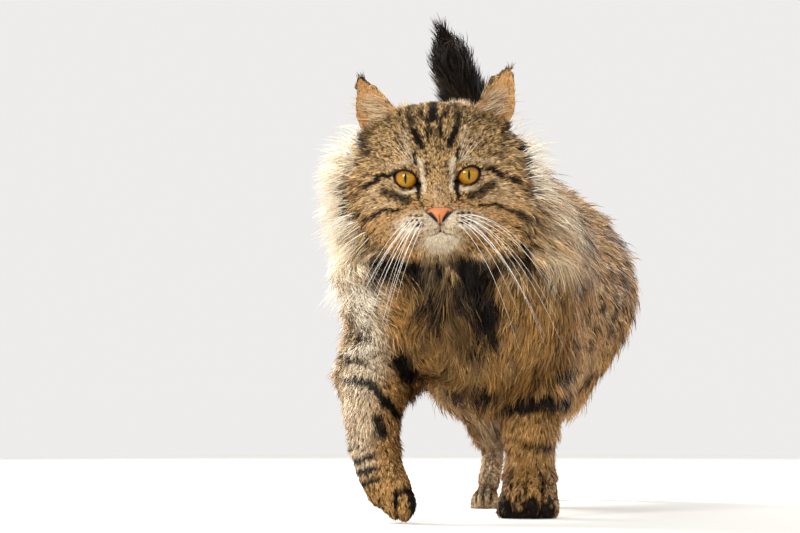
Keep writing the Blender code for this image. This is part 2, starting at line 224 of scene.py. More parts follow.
def spread(values, edges, rounds):
    """Evens a value out over the surface, half way to its neighbours' mean each round."""
    count = len(values)
    a, b = edges[:, 0], edges[:, 1]
    near = np.bincount(a, minlength=count) + np.bincount(b, minlength=count)
    near = np.maximum(near, 1)
    rows = values.reshape(count, -1).copy()
    for _ in range(rounds):
        for j in range(rows.shape[1]):
            column = rows[:, j]
            total = np.bincount(a, column[b], count) + np.bincount(b, column[a], count)
            rows[:, j] = (column + total / near) / 2
    return rows.reshape(values.shape)


# ------------------------------------------------------------------- the skin

def whole_body():
    """One closed surface round every node, eyes and nose leather filled in."""
    joined = bmesh.new()
    for name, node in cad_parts.items():
        part = bmesh.new()
        part.from_mesh(node.data)
        bmesh.ops.remove_doubles(part, verts=part.verts[:], dist=1e-5)
        part.normal_update()
        swell = 0.0 if name in EYE_NODES else NODE_SWELL * MM
        for v in part.verts:
            v.co += v.normal * swell
        mesh = bpy.data.meshes.new("part")
        part.to_mesh(mesh)
        part.free()
        joined.from_mesh(mesh)
        bpy.data.meshes.remove(mesh)
    mesh = bpy.data.meshes.new("skin")
    joined.to_mesh(mesh)
    joined.free()
    body = link("skin", mesh)
    remesh = body.modifiers.new("remesh", "REMESH")
    remesh.mode = "VOXEL"
    remesh.voxel_size = SKIN_VOXEL * MM
    closed = worked_in(body)
    body.modifiers.clear()
    body.data = closed
    return body


def refine(body, wanted):
    """Halves the edges where wanted says so, where the form is small."""
    bm = bmesh.new()
    bm.from_mesh(body.data)
    centres = np.array([f.calc_center_median() for f in bm.faces]) / MM
    chosen = wanted(to_head(centres))
    edges = {e for f, yes in zip(bm.faces, chosen) if yes for e in f.edges}
    bmesh.ops.subdivide_edges(bm, edges=list(edges), cuts=1, use_grid_fill=True)
    bm.to_mesh(body.data)
    bm.free()


def on_face(head):
    x, y, z = head.T
    return (y < 22) & (np.abs(x) < 62) & (z > -64) & (z < 52)


def on_ears(head):
    x, y, z = head.T
    return (np.abs(x) > 22) & (z > 40) & (y < 60)


def on_muzzle_or_eyes(head):
    x, y, z = head.T
    eyes = (np.abs(x) < 37) & (np.abs(z) < 12) & (y < 12)
    muzzle = (np.abs(x) < 20) & (z < -18) & (z > -52) & (y < 2)
    return eyes | muzzle


def on_paws(head):
    points = from_head(head)
    inside = np.zeros(len(points), bool)
    for name in PAWS:
        lo, hi = node_box(name)
        inside |= ((points > lo - 2) & (points < hi + 2)).all(axis=1)
    return inside


def on_small_parts(head):
    return on_ears(head) | on_paws(head)


def on_fine_parts(head):
    return on_face(head) | on_small_parts(head)


def smooth_mesh(body, rounds):
    """Smooths, but only a little on the ears and paws, so that they keep their size."""
    points = read_points(body.data)
    even = spread(points, neighbours(body.data), rounds)
    amount = 1.0 - 0.75 * on_small_parts(to_head(points))
    write_points(body.data, points + (even - points) * amount[:, None])


def cad_surface():
    """All of the nodes as one tree, and each triangle's node."""
    points, faces, owners = [], [], []
    for index, name in enumerate(NODE_NAMES):
        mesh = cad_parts[name].data
        start = len(points)
        points.extend(v.co / MM for v in mesh.vertices)
        for p in mesh.polygons:
            faces.append([start + i for i in p.vertices])
            owners.append(index)
    return BVHTree.FromPolygons(points, faces), np.array(owners)


NODE_NAMES = sorted(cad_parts)
FACE_NODES = ("head", "jaw", "nose") + EYE_NODES
EAR_NODES = ("ear_left", "ear_right")
TAIL_NODES = ("tail_base", "tail_middle", "tail_tip")
FORE_NODES = tuple(name for name in NODE_NAMES if name.startswith("fore"))
HIND_NODES = tuple(name for name in NODE_NAMES if name.startswith("hind"))


def of_nodes(owner, names):
    """True where the owner is one of the named nodes."""
    return np.isin(owner, [NODE_NAMES.index(name) for name in names])


# Coat by part, the same on both sides: depth of coat over the skin, length of
# hair, its width, hairs to a square millimetre, hold to the surface, droop.
COAT = {
    "head": (5.0, 12.0, 0.60, 1.10, 0.9, 0.0),
    "jaw": (3.0, 8.0, 0.50, 1.60, 0.9, 0.1),
    "nose": (1.0, 2.2, 0.35, 2.00, 1.0, 0.0),
    "eye": (0.0, 3.0, 0.40, 1.50, 1.0, 0.0),
    "ear": (1.2, 6.0, 0.40, 1.80, 0.9, 0.0),
    "neck": (16.0, 42.0, 0.78, 0.72, 0.6, 0.3),
    "chest": (14.0, 38.0, 0.78, 0.60, 0.7, 0.3),
    "loin": (12.0, 36.0, 1.05, 0.42, 0.8, 0.2),
    "rump": (13.0, 38.0, 1.05, 0.42, 0.8, 0.2),
    "tail_base": (11.0, 32.0, 0.95, 0.75, 0.7, 0.1),
    "tail_middle": (10.0, 30.0, 0.90, 0.85, 0.6, 0.0),
    "tail_tip": (8.5, 26.0, 0.85, 0.95, 0.5, 0.0),
    "foreleg_upper": (9.0, 24.0, 0.72, 0.72, 0.8, 0.2),
    "foreleg_lower": (4.5, 11.5, 0.52, 1.60, 0.9, 0.1),
    "forepaw": (1.8, 6.0, 0.50, 1.70, 0.9, 0.0),
    "hindleg_thigh": (11.0, 34.0, 1.00, 0.45, 0.8, 0.3),
    "hindleg_shank": (7.0, 22.0, 0.85, 0.65, 0.8, 0.2),
    "hindleg_metatarsus": (2.6, 9.0, 0.55, 1.30, 0.9, 0.1),
    "hindpaw": (1.8, 6.0, 0.50, 1.70, 0.9, 0.0),
}
DEPTH, LENGTH, WIDTH, DENSITY, HOLD, DROOP = range(6)


def without_side(name):
    return name.replace("_left", "").replace("_right", "")


# The two nodes whose centres give the run of the hair on a limb.
LIMBS = {
    "tail_base": ("rump", "tail_middle"),
    "tail_middle": ("tail_base", "tail_tip"),
    "tail_tip": ("tail_middle", "tail_tip"),
}
for side, hip in (("left", "rump"), ("right", "loin")):
    foreleg, hindleg = "foreleg_" + side, "hindleg_" + side
    LIMBS[foreleg + "_upper"] = (foreleg + "_upper", foreleg + "_lower")
    LIMBS[foreleg + "_lower"] = (foreleg + "_upper", "forepaw_" + side)
    LIMBS[hindleg + "_thigh"] = (hip, hindleg + "_shank")
    LIMBS[hindleg + "_shank"] = (hindleg + "_thigh", hindleg + "_metatarsus")
    LIMBS[hindleg + "_metatarsus"] = (hindleg + "_shank", "hindpaw_" + side)
# The way the hair runs on the other nodes: across, back and up.
LIES = {
    "neck": (0.0, 0.75, -0.65),
    "chest": (0.0, 0.55, -0.85),
    "loin": (0.0, 0.85, -0.5),
    "rump": (0.0, 0.8, -0.6),
    "forepaw_left": (0.0, -0.8, -0.6),
    "forepaw_right": (0.1, -0.6, -0.8),
    "hindpaw_left": (0.0, -0.9, -0.45),
    "hindpaw_right": (0.0, -0.9, -0.45),
}
EAR_TOPS = {
    "ear_left": from_head((58.5, 12.0, 84.0)),
    "ear_right": from_head((-58.5, 12.0, 84.0)),
}
NOSE_TIP = np.array([0.0, -30.0, -27.0])
EAR_ROOT = 34.0
EAR_HEIGHT = 49.0


def ear_place(head):
    """How far up an ear a place is, and how far across from its inner edge, 0 to 1."""
    x, _, z = head.T
    up = np.clip((z - EAR_ROOT) / EAR_HEIGHT, 0.0, 1.0)
    flare = (4.5 * np.minimum(up / 0.4, 1.0) + 1.5 * up) * (x > 0)
    inner = 20.0 + 34.0 * up ** 1.85 + flare
    outer = 61.0 - 2.5 * up + 3.0 * up * (1.0 - up) + flare
    return up, (np.abs(x) - inner) / np.maximum(outer - inner, 3.0)


def lie_of_coat(points, owner):
    """The way the hair runs at each place, before it is laid on the surface."""
    lie = np.zeros_like(points)
    head = to_head(points)
    for index, name in enumerate(NODE_NAMES):
        mine = owner == index
        if not mine.any():
            continue
        if name in LIMBS:
            start, end = LIMBS[name]
            lie[mine] = unit(node_centre(end) - node_centre(start))
        elif name in LIES:
            lie[mine] = unit(np.array(LIES[name]))
        elif name in EAR_TOPS:
            lie[mine] = unit(EAR_TOPS[name] - points[mine])
        else:  # the face: away from the nose, and back over the head
            out = head[mine] - NOSE_TIP
            flat = unit(out * (1.0, 0.0, 1.0))
            back = ease(-30.0, 40.0, head[mine][:, 1])[:, None]
            way = flat * (1.0 - 0.45 * back) + np.array([0.0, 0.45, 0.0]) * (0.4 + back)
            way[:, 2] -= 0.55 * back[:, 0]
            lie[mine] = unit(way) @ HEAD_AXES
    return lie


# Soft pushes on the face: across, up, spread across, spread up, forward.
FACE_RELIEF = (
    (22.0, 11.5, 12.0, 5.0, 1.4),
    (11.5, -3.0, 3.5, 6.0, -1.6),
    (21.0, -12.0, 9.0, 4.0, -0.8),
    (0.0, -12.0, 5.0, 12.0, 0.8),
    (12.5, -34.0, 8.0, 6.0, 2.6),
    (0.0, -38.5, 1.3, 4.5, -2.6),
    (0.0, -49.5, 10.0, 5.0, 1.6),
    (9.5, -27.5, 2.5, 3.5, 1.0),
)
# The lips' height at the middle and the corners, their dip between, and half their width.
MOUTH_CENTRE = -42.0
MOUTH_DROP = 2.6
MOUTH_HALF = 15.0


def mouth_height(x):
    """The height of the line of the lips."""
    along = np.clip(np.abs(x) / MOUTH_HALF, 0.0, 1.0)
    return MOUTH_CENTRE - MOUTH_DROP * np.sin(math.pi * along)


def mouth_line(head):
    """Near 1 on the line of the lips and the cleft above it."""
    x, y, z = head.T
    lips = hill(z, mouth_height(x), 0.9) * ease(MOUTH_HALF - 2, 4.0, np.abs(x))
    cleft = hill(x, 0.0, 0.8) * (z > MOUTH_CENTRE) * (z < -33.0)
    return np.maximum(lips, cleft) * (y < 0)


LID_HALF_WIDTH = 10.5
LID_HALF_HEIGHT = 6.7
# The upper lid's height and the lower one's, as shares of the half height.
LID_UPPER = 1.04
LID_LOWER = 0.94
# The curve of the lids: 2 would make the corners of the eye round, and 1 sharp.
LID_CURVE = 1.3
LID_TILT = math.radians(26.0)
# How far the lids stand out over the eyeball, how far out they follow it, and
# how deep the skin is sunk between them.
LID_OUT = 0.9
LID_REACH = 10.4
LID_SINK = 4.0


def lid_frame(side):
    """An eye's own axes: outward along the lids, up across them, and gaze."""
    out = np.array([side * math.cos(LID_TILT), 0.0, math.sin(LID_TILT)])
    gaze = unit(np.array([side * 0.10, -1.0, 0.0]))
    out = unit(out - gaze * out.dot(gaze))
    up = np.cross(gaze, out) * -side
    return np.array([out, up, gaze])


def lid_shape(u, v):
    """1 on the edge of the lids, less inside."""
    height = np.where(v > 0, LID_HALF_HEIGHT * LID_UPPER, LID_HALF_HEIGHT * LID_LOWER)
    reach = (np.abs(u) / LID_HALF_WIDTH) ** 2 + (np.abs(v) / height) ** LID_CURVE
    return reach ** (1 / 1.65)


def by_lids(u, v, w):
    """True on the skin round an eye, in the eye's own axes."""
    return (w > -6) & (np.hypot(u, v) < 17)


def shape_face(points, normals):
    """The soft forms of the face, the mouth and the lids over the eyes."""
    head = to_head(points)
    facing = ease(0.0, 0.6, -(normals @ HEAD_AXES.T)[:, 1]) * ease(24.0, 8.0, head[:, 1])
    x, _, z = head.T
    push = np.zeros(len(points))
    for cx, cz, rx, rz, forward in FACE_RELIEF:
        push += hill(np.abs(x), cx, rx) * hill(z, cz, rz) * forward
    push -= 1.5 * hill(z, mouth_height(x), 1.2) * ease(MOUTH_HALF, MOUTH_HALF - 6, np.abs(x))
    head[:, 1] -= push * facing
    for name, centre in eye_centres.items():
        axes = lid_frame(EYE_SIDES[name])
        local = (head - to_head(centre)) @ axes.T
        u, v, w = local.T
        reach = lid_shape(u, v)
        near = by_lids(u, v, w)
        ball = EYE_RADIUS + LID_OUT
        radius = np.minimum(np.hypot(u, v), LID_REACH)
        lid = np.sqrt(ball * ball - radius * radius)
        blend = ease(1.75, 1.02, reach)
        raised = w + (lid - w) * blend
        inside = ease(1.02, 0.94, reach)
        raised = raised + (lid - LID_SINK - raised) * inside
        local[:, 2] = np.where(near, raised, w)
        head = np.where(near[:, None], local @ axes + to_head(centre), head)
    return from_head(head)


def shape_ears(points, normals):
    """Full height to the tips, and a hollow in front."""
    head = to_head(points)
    x, y, z = head.T
    high = ease(48.0, 82.0, z) * (np.abs(x) > 22) * ease(70.0, 55.0, y)
    tip = np.where(x > 0, 62.0, 56.0)
    facing = ease(0.2, 0.8, -(normals @ HEAD_AXES.T)[:, 1])
    middle = hill(np.abs(x), 50.0, 9.0) * ease(50.0, 58.0, z) * ease(82.0, 70.0, z)
    head[:, 2] += 4.5 * high ** 2
    head[:, 0] += np.sign(x) * (high + np.where(x > 0, 0.7, 0.25) * (np.abs(x) - tip) * high ** 2)
    head[:, 1] += 2.2 * middle * facing
    return from_head(head)


# The clefts between the toes, as shares of the paw's width from its middle.
TOE_GAPS = (-0.25, 0.0, 0.25)
CLEFT_WIDTH = 1.5
CLEFT_DEPTH = 2.4


def toe_clefts(points):
    """Near 1 in the clefts between the toes."""
    cleft = np.zeros(len(points))
    for name in PAWS:
        lo, hi = node_box(name)
        size = hi - lo
        near = ((points > lo - 3) & (points < hi + 3)).all(axis=1)
        if name == "forepaw_right":
            front = ease(lo[2] + 27, lo[2] + 18, points[:, 2])
        else:
            front = ease(lo[1] + 24, lo[1] + 15, points[:, 1])
            front = front * ease(2.0, 6.0, points[:, 2])
        middle = (lo[0] + hi[0]) / 2
        for gap in TOE_GAPS:
            line = hill(points[:, 0] - middle, gap * size[0], CLEFT_WIDTH)
            cleft = np.maximum(cleft, near * front * line)
    return cleft


def shape_paws(points, normals):
    return points - normals * (CLEFT_DEPTH * toe_clefts(points))[:, None]


def coat_fields(points, owner, edges):
    """Per place on the skin: depth, length, width, density, hold and droop."""
    table = np.array([COAT[without_side(name)] for name in NODE_NAMES])
    fields = table[owner]
    x, y, z = to_head(points).T
    mine = of_nodes(owner, FACE_NODES)
    side = ease(30.0, 82.0, np.hypot(x, np.maximum(y, 0)))
    brow = ease(4.0, 55.0, z)
    below = ease(-46.0, -72.0, z)
    away = ease(12.0, 30.0, np.hypot(x, z + 28))
    reach = np.maximum(side ** 1.3, below)
    fields[mine, DEPTH] = (1.2 + 0.6 * away + 1.2 * brow + 5.0 * reach)[mine]
    fields[mine, LENGTH] = (2.2 + 1.8 * away + 2.2 * brow + 17.0 * reach)[mine]
    fields[mine, WIDTH] = (0.36 + 0.10 * away + 0.30 * reach)[mine]
    fields[mine, DENSITY] = (4.0 - 1.3 * away - 1.6 * reach ** 0.7)[mine]
    fields = spread(fields, edges, 14)
    ears = spread(of_nodes(owner, EAR_NODES).astype(float), edges, 4)
    for column, value in ((DEPTH, 0.7), (LENGTH, 5.0), (WIDTH, 0.4)):
        fields[:, column] += (value - fields[:, column]) * ease(0.3, 0.8, ears)
    return fields


def surface_tree(points, triangles):
    return BVHTree.FromPolygons(points.tolist(), triangles.tolist())


def triangulate(mesh):
    """Cuts every face into triangles."""
    bm = bmesh.new()
    bm.from_mesh(mesh)
    bmesh.ops.triangulate(bm, faces=bm.faces[:])
    bm.to_mesh(mesh)
    bm.free()


body = whole_body()
smooth_mesh(body, 3)
refine(body, on_fine_parts)
refine(body, on_muzzle_or_eyes)
triangulate(body.data)
smooth_mesh(body, 3)

outer_points = read_points(body.data)
outer_normals = read_normals(body.data)
edges = neighbours(body.data)
cad_tree, cad_owner = cad_surface()
found = [cad_tree.find_nearest(p)[2] for p in outer_points.tolist()]
owner = cad_owner[np.array(found)]

fields = coat_fields(outer_points, owner, edges)
# By the floor the coat is thinner, and the skin is never lifted.
NEAR_FLOOR = 5.0
floor_keep = ease(0.5, NEAR_FLOOR, outer_points[:, 2])
even_normals = unit(spread(outer_normals, edges, 4))
skin_points = outer_points - even_normals * (fields[:, DEPTH] * (0.25 + 0.75 * floor_keep))[:, None]
skin_points[:, 2] = np.where(outer_points[:, 2] < NEAR_FLOOR,
                             np.minimum(skin_points[:, 2], outer_points[:, 2]),
                             skin_points[:, 2])
write_points(body.data, shape_paws(shape_ears(skin_points, outer_normals), outer_normals))
smooth_mesh(body, 2)
shaped = shape_face(read_points(body.data), read_normals(body.data))
shaped[:, 2] = np.maximum(shaped[:, 2], 0.0)
write_points(body.data, shaped)
smooth_shade(body.data)
skin_points = read_points(body.data)
skin_normals = unit(spread(read_normals(body.data), edges, 1))
triangles = read_triangles(body.data)


# ------------------------------------------------------------------- markings

def node_share(names, rounds):
    """1 on the named nodes, evened out over their borders."""
    return spread(of_nodes(owner, names).astype(float), edges, rounds)


HEAD_SHARE = node_share(FACE_NODES, 6)
EAR_SHARE = node_share(EAR_NODES, 3)
TAIL_SHARE = node_share(TAIL_NODES, 12)
FORE_SHARE = node_share(FORE_NODES, 10)
HIND_SHARE = node_share(HIND_NODES, 10)


def crest_of_ear(side):
    """The height of an ear's tip, in the head's frame."""
    head = to_head(skin_points)
    return head[(EAR_SHARE > 0.5) & (head[:, 0] * side > 0), 2].max()


LEFT_CREST, RIGHT_CREST = crest_of_ear(1), crest_of_ear(-1)


# How far the dark of the ears' tips reaches down.
TIP_REACH = 5.0


def ear_tips(head, reach):
    """1 at the tips of the ears, fading over reach below them."""
    crest = np.where(head[:, 0] > 0, LEFT_CREST, RIGHT_CREST)
    return ease(crest - reach, crest - 0.2 * reach, head[:, 2])


def stroke(x, z, start, end, width, bend=0.0):
    """A tapered stroke from start to end, seen from the front."""
    start, end = np.array(start, float), np.array(end, float)
    line = end - start
    size = np.linalg.norm(line)
    along = ((x - start[0]) * line[0] + (z - start[1]) * line[1]) / size ** 2
    off = ((x - start[0]) * line[1] - (z - start[1]) * line[0]) / size
    off = off - bend * 4.0 * np.clip(along, 0, 1) * (1 - np.clip(along, 0, 1))
    ends = ease(-0.08, 0.06, along) * ease(1.08, 0.9, along)
    return np.exp(-(off / width) ** 4) * ends


# Dark strokes on both sides of the face: start, end, half width, bend, strength.
FACE_STROKES = (
    ((33, 5.0), (45, 5.0), 1.6, 0.5, 1.0),
    ((43, 5.0), (64, -5), 2.6, 2.0, 1.0),
    ((60, -3), (80, -19), 3.6, 1.0, 0.95),
    ((31, -23.5), (45, -23), 1.3, 0.5, 0.9),
    ((43, -22.5), (62, -31), 2.0, 1.0, 0.85),
    ((57, -28), (79, -42), 3.0, 1.0, 0.75),
    ((58, -40), (72, -53), 2.6, 0.0, 0.6),
    ((22, -18.5), (46, -6), 4.2, 0.0, 0.72),
    ((8.5, 48), (13.5, 62), 3.0, 0.0, 0.75),
    ((15, 45), (21, 60), 2.4, 0.0, 0.6),
    ((1.5, 33), (4.0, 46), 2.0, 0.0, 0.65),
    ((24, 40), (28, 56), 2.2, 0.0, 0.5),
    ((14.4, -5), (16.2, -18), 1.8, 0.0, 1.0),
    ((13.2, -3), (15.6, -10), 2.4, 0.0, 1.0),
    ((12.0, -22), (16.5, -17), 1.2, 0.0, 0.7),
    ((15.8, 11), (18.2, 24), 1.4, 0.0, 1.0),
    ((10.5, 24), (18.0, 41), 3.3, 0.0, 1.0),
    ((18.0, 41), (20.5, 54), 2.8, 0.0, 0.75),
    ((6.0, 31), (5.2, 50), 1.7, 0.0, 0.85),
    ((1.2, 44), (0.6, 64), 3.0, 0.0, 0.95),
    ((29, 30), (34, 50), 2.4, 0.0, 0.5),
    ((40, 14), (58, 24), 2.6, 0.0, 0.4),
    ((9.0, 2), (8.0, 14), 1.3, 0.0, 0.65),
)
# Pale strokes on both sides of the face.
PALE_STROKES = (
    ((11.0, -12), (12.8, 16), 1.8, -0.4, 0.62),
    ((14, 11.5), (30, 12.5), 1.9, -1.6, 0.42),
    ((30, 12), (46, 12), 1.6, 0.0, 0.25),
    ((16.5, -8.5), (33, -8), 2.0, 2.4, 0.60),
    ((36, -1), (60, -12), 2.4, 1.0, 0.28),
    ((34, -17), (60, -22), 2.4, 0.0, 0.22),
    ((21, 21), (24, 42), 1.8, 0.0, 0.28),
)
# Pale and warm places: across, up, spread across, spread up, strength.
FACE_PALE = (
    (10.0, -35.0, 10.0, 6.5, 1.3),
    (20.0, -35.5, 12.0, 6.5, 1.3),
    (0.0, -50.5, 13.0, 8.5, 1.4),
    (31.0, -38.0, 9.0, 6.0, 0.4),
    (0.0, -15.0, 8.0, 9.0, 0.25),
    (56.0, -16.0, 24.0, 26.0, 0.13),
)
FACE_WARM = (
    (0.0, -17.0, 9.0, 9.0, 0.75),
    (7.0, -23.5, 6.0, 3.5, 0.8),
    (19.0, -23.0, 7.0, 4.0, 0.75),
    (52.0, -32.0, 20.0, 13.0, 0.75),
    (30.0, -28.0, 9.0, 5.0, 0.7),
    (14.0, -57.0, 22.0, 5.0, 0.8),
    (30.0, -50.0, 14.0, 9.0, 0.7),
    (60.0, -8.0, 14.0, 12.0, 0.4),
)

# The rows of dark spots on the whisker pads.
SPOT_HEIGHTS = (-30.4, -34.4, -38.0)


def face_marks(head, wobble):
    """Strokes, places and rows of whisker spots, the same on both sides of the face."""
    x, _, z = head.T
    out = np.abs(x) + wobble
    up = z + wobble
    dark = strokes_on(out, up, FACE_STROKES)
    pale = np.maximum(strokes_on(out, up, PALE_STROKES), places_on(out, up, FACE_PALE))
    for row, height in enumerate(SPOT_HEIGHTS):
        line = hill(z, height + 0.05 * (np.abs(x) - 12), 1.2)
        spots = line * ease(12.0, 14.0, np.abs(x)) * ease(29.0, 25.0, np.abs(x))
        dark = np.maximum(dark, spots * ease(-0.9, -0.2, np.sin(np.abs(x) * 1.45 + row)))
    pale = np.clip(1.3 * pale, 0, 0.85) * (1.0 - dark)
    return dark, pale, places_on(out, up, FACE_WARM)


# Strokes on the legs and chest, seen from the front: start, end, half width,
# strength. The hairs take them over the form of each part.
LEFT_LEG = (
    ((30, 82), (86, 88), 5.4, 1.0),
    ((47, 53), (76, 52), 3.0, 0.8),
    ((72, 126), (88, 134), 5.0, 0.75),
    ((76, 102), (91, 113), 4.6, 0.85),
    ((60, 96), (78, 101), 2.6, 0.5),
    ((34, 66), (48, 68), 2.4, 0.45),
    ((40, 36), (66, 38), 2.2, 0.4),
)
RIGHT_LEG = (
    ((-84, 106), (-57, 102), 3.2, 1.0),
    ((-60, 103), (-33, 73), 3.0, 1.0),
    ((-92, 122), (-62, 117), 2.4, 0.9),
    ((-88, 138), (-66, 134), 2.6, 0.85),
    ((-43, 126), (-30, 102), 7.5, 0.9),
    ((-52, 78), (-44, 60), 4.6, 1.0),
    ((-84, 66), (-68, 70), 1.6, 0.8),
    ((-84, 58), (-66, 63), 1.7, 0.8),
    ((-80, 50), (-62, 55), 1.7, 0.85),
    ((-76, 41), (-50, 48), 2.4, 1.0),
    ((-72, 33), (-46, 40), 2.8, 1.0),
    ((-66, 26), (-44, 31), 2.2, 1.0),
    ((-60, 20), (-46, 23), 1.5, 0.7),
)
# Dark patches on the chest: across, up, spread across, spread up, strength.
CHEST_DARK = (
    (-12.0, 199.0, 30.0, 9.0, 0.8),
    (22.0, 187.0, 15.0, 15.0, 1.0),
    (-16.0, 176.0, 15.0, 20.0, 1.0),
    (3.0, 168.0, 18.0, 14.0, 0.75),
    (-56.0, 177.0, 10.0, 13.0, 1.0),
    (54.0, 184.0, 10.0, 12.0, 0.9),
    (-35.0, 116.0, 15.0, 20.0, 1.0),
    (44.0, 116.0, 7.0, 13.0, 0.6),
)


def strokes_on(x, z, strokes):
    """The strongest of some strokes, each a row of stroke's own values and a strength."""
    share = np.zeros(len(x))
    for *form, strength in strokes:
        share = np.maximum(share, stroke(x, z, *form) * strength)
    return share


def places_on(x, z, places):
    """The strongest of some soft places: across, up, spread across, spread up, strength."""
    share = np.zeros(len(x))
    for cx, cz, rx, rz, strength in places:
        share = np.maximum(share, hill(x, cx, rx) * hill(z, cz, rz) * strength)
    return share


STRIPE_GAP = 44.0
RING_GAP = 29.0
HIND_RING_GAP = 34.0
TOE_GAP = 11.5
# Between the forelegs, across the cat.
LEG_DIVIDE = -10.0


class Places:
    """Where the markings are worked out, with what all of them share."""

    def __init__(self, points, normals):
        self.points = points
        self.normals = normals
        self.head = to_head(points)
        self.broad = noise(points, 34.0, 1)
        self.fine = noise(points, 11.0, 2)
        self.wobble = noise(points, 6.0, 3)
        self.forward = ease(-0.1, 0.35, -normals[:, 1])
        self.sideways = ease(0.30, -0.05, -normals[:, 1])
        self.left = points[:, 0] > LEG_DIVIDE


def trunk_marks(at):
    """A dark spine, stripes down the flanks and a paler belly."""
    x, y, z = at.points.T
    up = at.normals[:, 2]
    spine = hill(x - np.interp(y, [-200, 0, 200], [-5, 0, 2]), 0.0, 26.0) * ease(0.5, 0.9, up)
    slant = y + 0.30 * z + 14.0 * at.broad + 5.0 * at.fine
    wave = np.sin(slant * math.tau / STRIPE_GAP) + 0.5 * noise(at.points, 24.0, 5)
    stripes = ease(0.15, 0.75, wave) * ease(0.97, 0.55, np.abs(up)) * ease(105, 150, z)
    dark = np.maximum(0.9 * spine, 0.11 + 0.6 * stripes)
    belly = ease(-0.2, -0.8, up) * ease(-170, -120, y)
    pale = np.maximum(0.14 * belly, 0.10 * at.fine)
    warm = 0.62 + 0.30 * at.broad + 0.20 * ease(190, 120, z)
    return dark, pale, warm


def chest_marks(at, dark, pale, warm):
    """Dark patches and streaks on the chest, its dark ground partly painted shade, and a cream edge on
    its right side, partly painted rim light.
    """
    x, y, z = at.points.T
    front = ease(-130, -165, y)
    streaks = ease(-0.35, 0.35, noise(at.points * (1.0, 0.6, 0.28), 9.0, 8))
    patches = np.zeros(len(x))
    for cx, cz, rx, rz, strength in CHEST_DARK:
        near = hill(x + 4 * at.fine, cx, rx) * hill(z + 5 * at.fine, cz, rz)
        patches = np.maximum(patches, ease(0.12, 0.55, near) * strength)
    upper = ease(150.0, 185.0, z)
    heart = hill(x, -8.0, 36.0) * hill(z, 162.0, 30.0)
    # The dark ground, deepest at the chest's middle, is partly the coat's own dark and partly painted
    # shade of the underlit chest.
    ground = 0.12 + 0.55 * streaks + 0.12 * (1 - upper) + 0.5 * heart
    dark = laid_over(dark, front, np.maximum(patches * (0.7 + 0.3 * streaks), ground))
    glow = hill(x, 2.0, 42.0) * hill(z, 142.0, 26.0)
    warm = laid_over(warm, front, np.clip(0.55 + 0.45 * glow + 0.2 * at.broad, 0, 1))
    # The cream edge on the chest's right side is partly painted rim light from behind.
    edge = ease(-46, -68, x + 4 * at.fine) * front * (1 - 0.45 * at.sideways) * (1 - patches)
    light = 0.20 * (1 - 0.6 * heart) * upper * ease(0.5, 0.0, streaks)
    light = light * ease(60.0, 40.0, np.abs(x + 4))
    pale = laid_over(pale, front, np.maximum(0.92 * edge, light))
    dark = dark * (1 - 0.8 * edge * front)
    return dark, pale, warm


def shoulder_rim_light(at, dark, pale):
    """Painted rim light: a pale edge on the left of the neck and shoulder, where the light from behind
    catches the coat.
    """
    x, y, z = at.points.T
    painted_rim = ease(66, 76, x + 4 * at.fine) * ease(93, 84, x + 3 * at.broad) * ease(160, 185, z)
    painted_rim = painted_rim * ease(268, 250, z) * ease(-125, -155, y)
    return dark * (1 - 0.8 * painted_rim), np.maximum(pale, 0.55 * painted_rim)


def foreleg_marks(at, dark, pale, warm):
    """Strokes in front, rings behind, and the cream outer side of the right foreleg."""
    x, y, z = at.points.T
    ring_place = z + 3.0 * at.broad + 3.0 * at.fine + 0.25 * y
    rings = ease(0.45, 0.9, np.sin(ring_place * math.tau / RING_GAP)) * ease(-0.8, 0.3, at.fine)
    shake = np.where(at.left, 1.5, 1.2) * at.wobble
    painted = np.where(at.left, strokes_on(x + shake, z + shake, LEFT_LEG),
                       strokes_on(x + shake, z + shake, RIGHT_LEG))
    plain = 0.24 - 0.16 * ease(-30, -50, x)
    leg_dark = np.maximum(painted * at.forward + 0.75 * rings * (1 - at.forward), plain)
    dark = laid_over(dark, FORE_SHARE, leg_dark)
    outer = ease(-40, -62, x + 3 * at.fine) * (0.7 + 0.3 * ease(90, 120, z)) * ease(20, 45, z)
    outer = outer * (1 - 0.35 * at.sideways)
    dark = dark * (1 - 0.9 * outer * FORE_SHARE * (painted < 0.2))
    pale = laid_over(pale, FORE_SHARE, 0.9 * outer)
    warm = laid_over(warm, FORE_SHARE, 0.85 + 0.15 * at.broad)
    return dark, pale, warm


def hindleg_marks(at, dark, pale, warm):
    """Rings on the thighs, and plain, paler shanks."""
    _, y, z = at.points.T
    rings = ease(0.5, 0.9, np.sin((y * 0.6 + z + 8 * at.broad) * math.tau / HIND_RING_GAP))
    dark = laid_over(dark, HIND_SHARE, np.maximum(rings * 0.7, 0.2))
    warm = laid_over(warm, HIND_SHARE, 0.85)
    shank = ease(100, 60, z) * HIND_SHARE
    pale = laid_over(pale, HIND_SHARE, (0.22 + 0.16 * at.forward) * shank)
    return dark * (1 - 0.8 * shank), pale, warm


def toe_marks_and_shade(at, dark):
    """Dark over the toes and inside the lifted paw, and painted shade in the clefts between the toes."""
    x, y, z = at.points.T
    toes = ease(20.0, 10.0, z + 4.0 * np.cos((x - 53.0) * math.tau / TOE_GAP))
    toes = toes * ease(0.1, 0.5, -at.normals[:, 1]) * ease(1.2, 0.2, noise(at.points, 4.0, 12))
    dark = np.maximum(dark, toes * at.left * FORE_SHARE * 0.9)
    # Painted shade in the clefts between the toes.
    dark = np.maximum(dark, toe_clefts(at.points) * 0.85)
    hanging = ease(0.15, 0.65, at.normals[:, 0]) * ease(30.0, 20.0, z) * (x < LEG_DIVIDE)
    return np.maximum(dark, hanging * FORE_SHARE * ease(-250, -270, y))


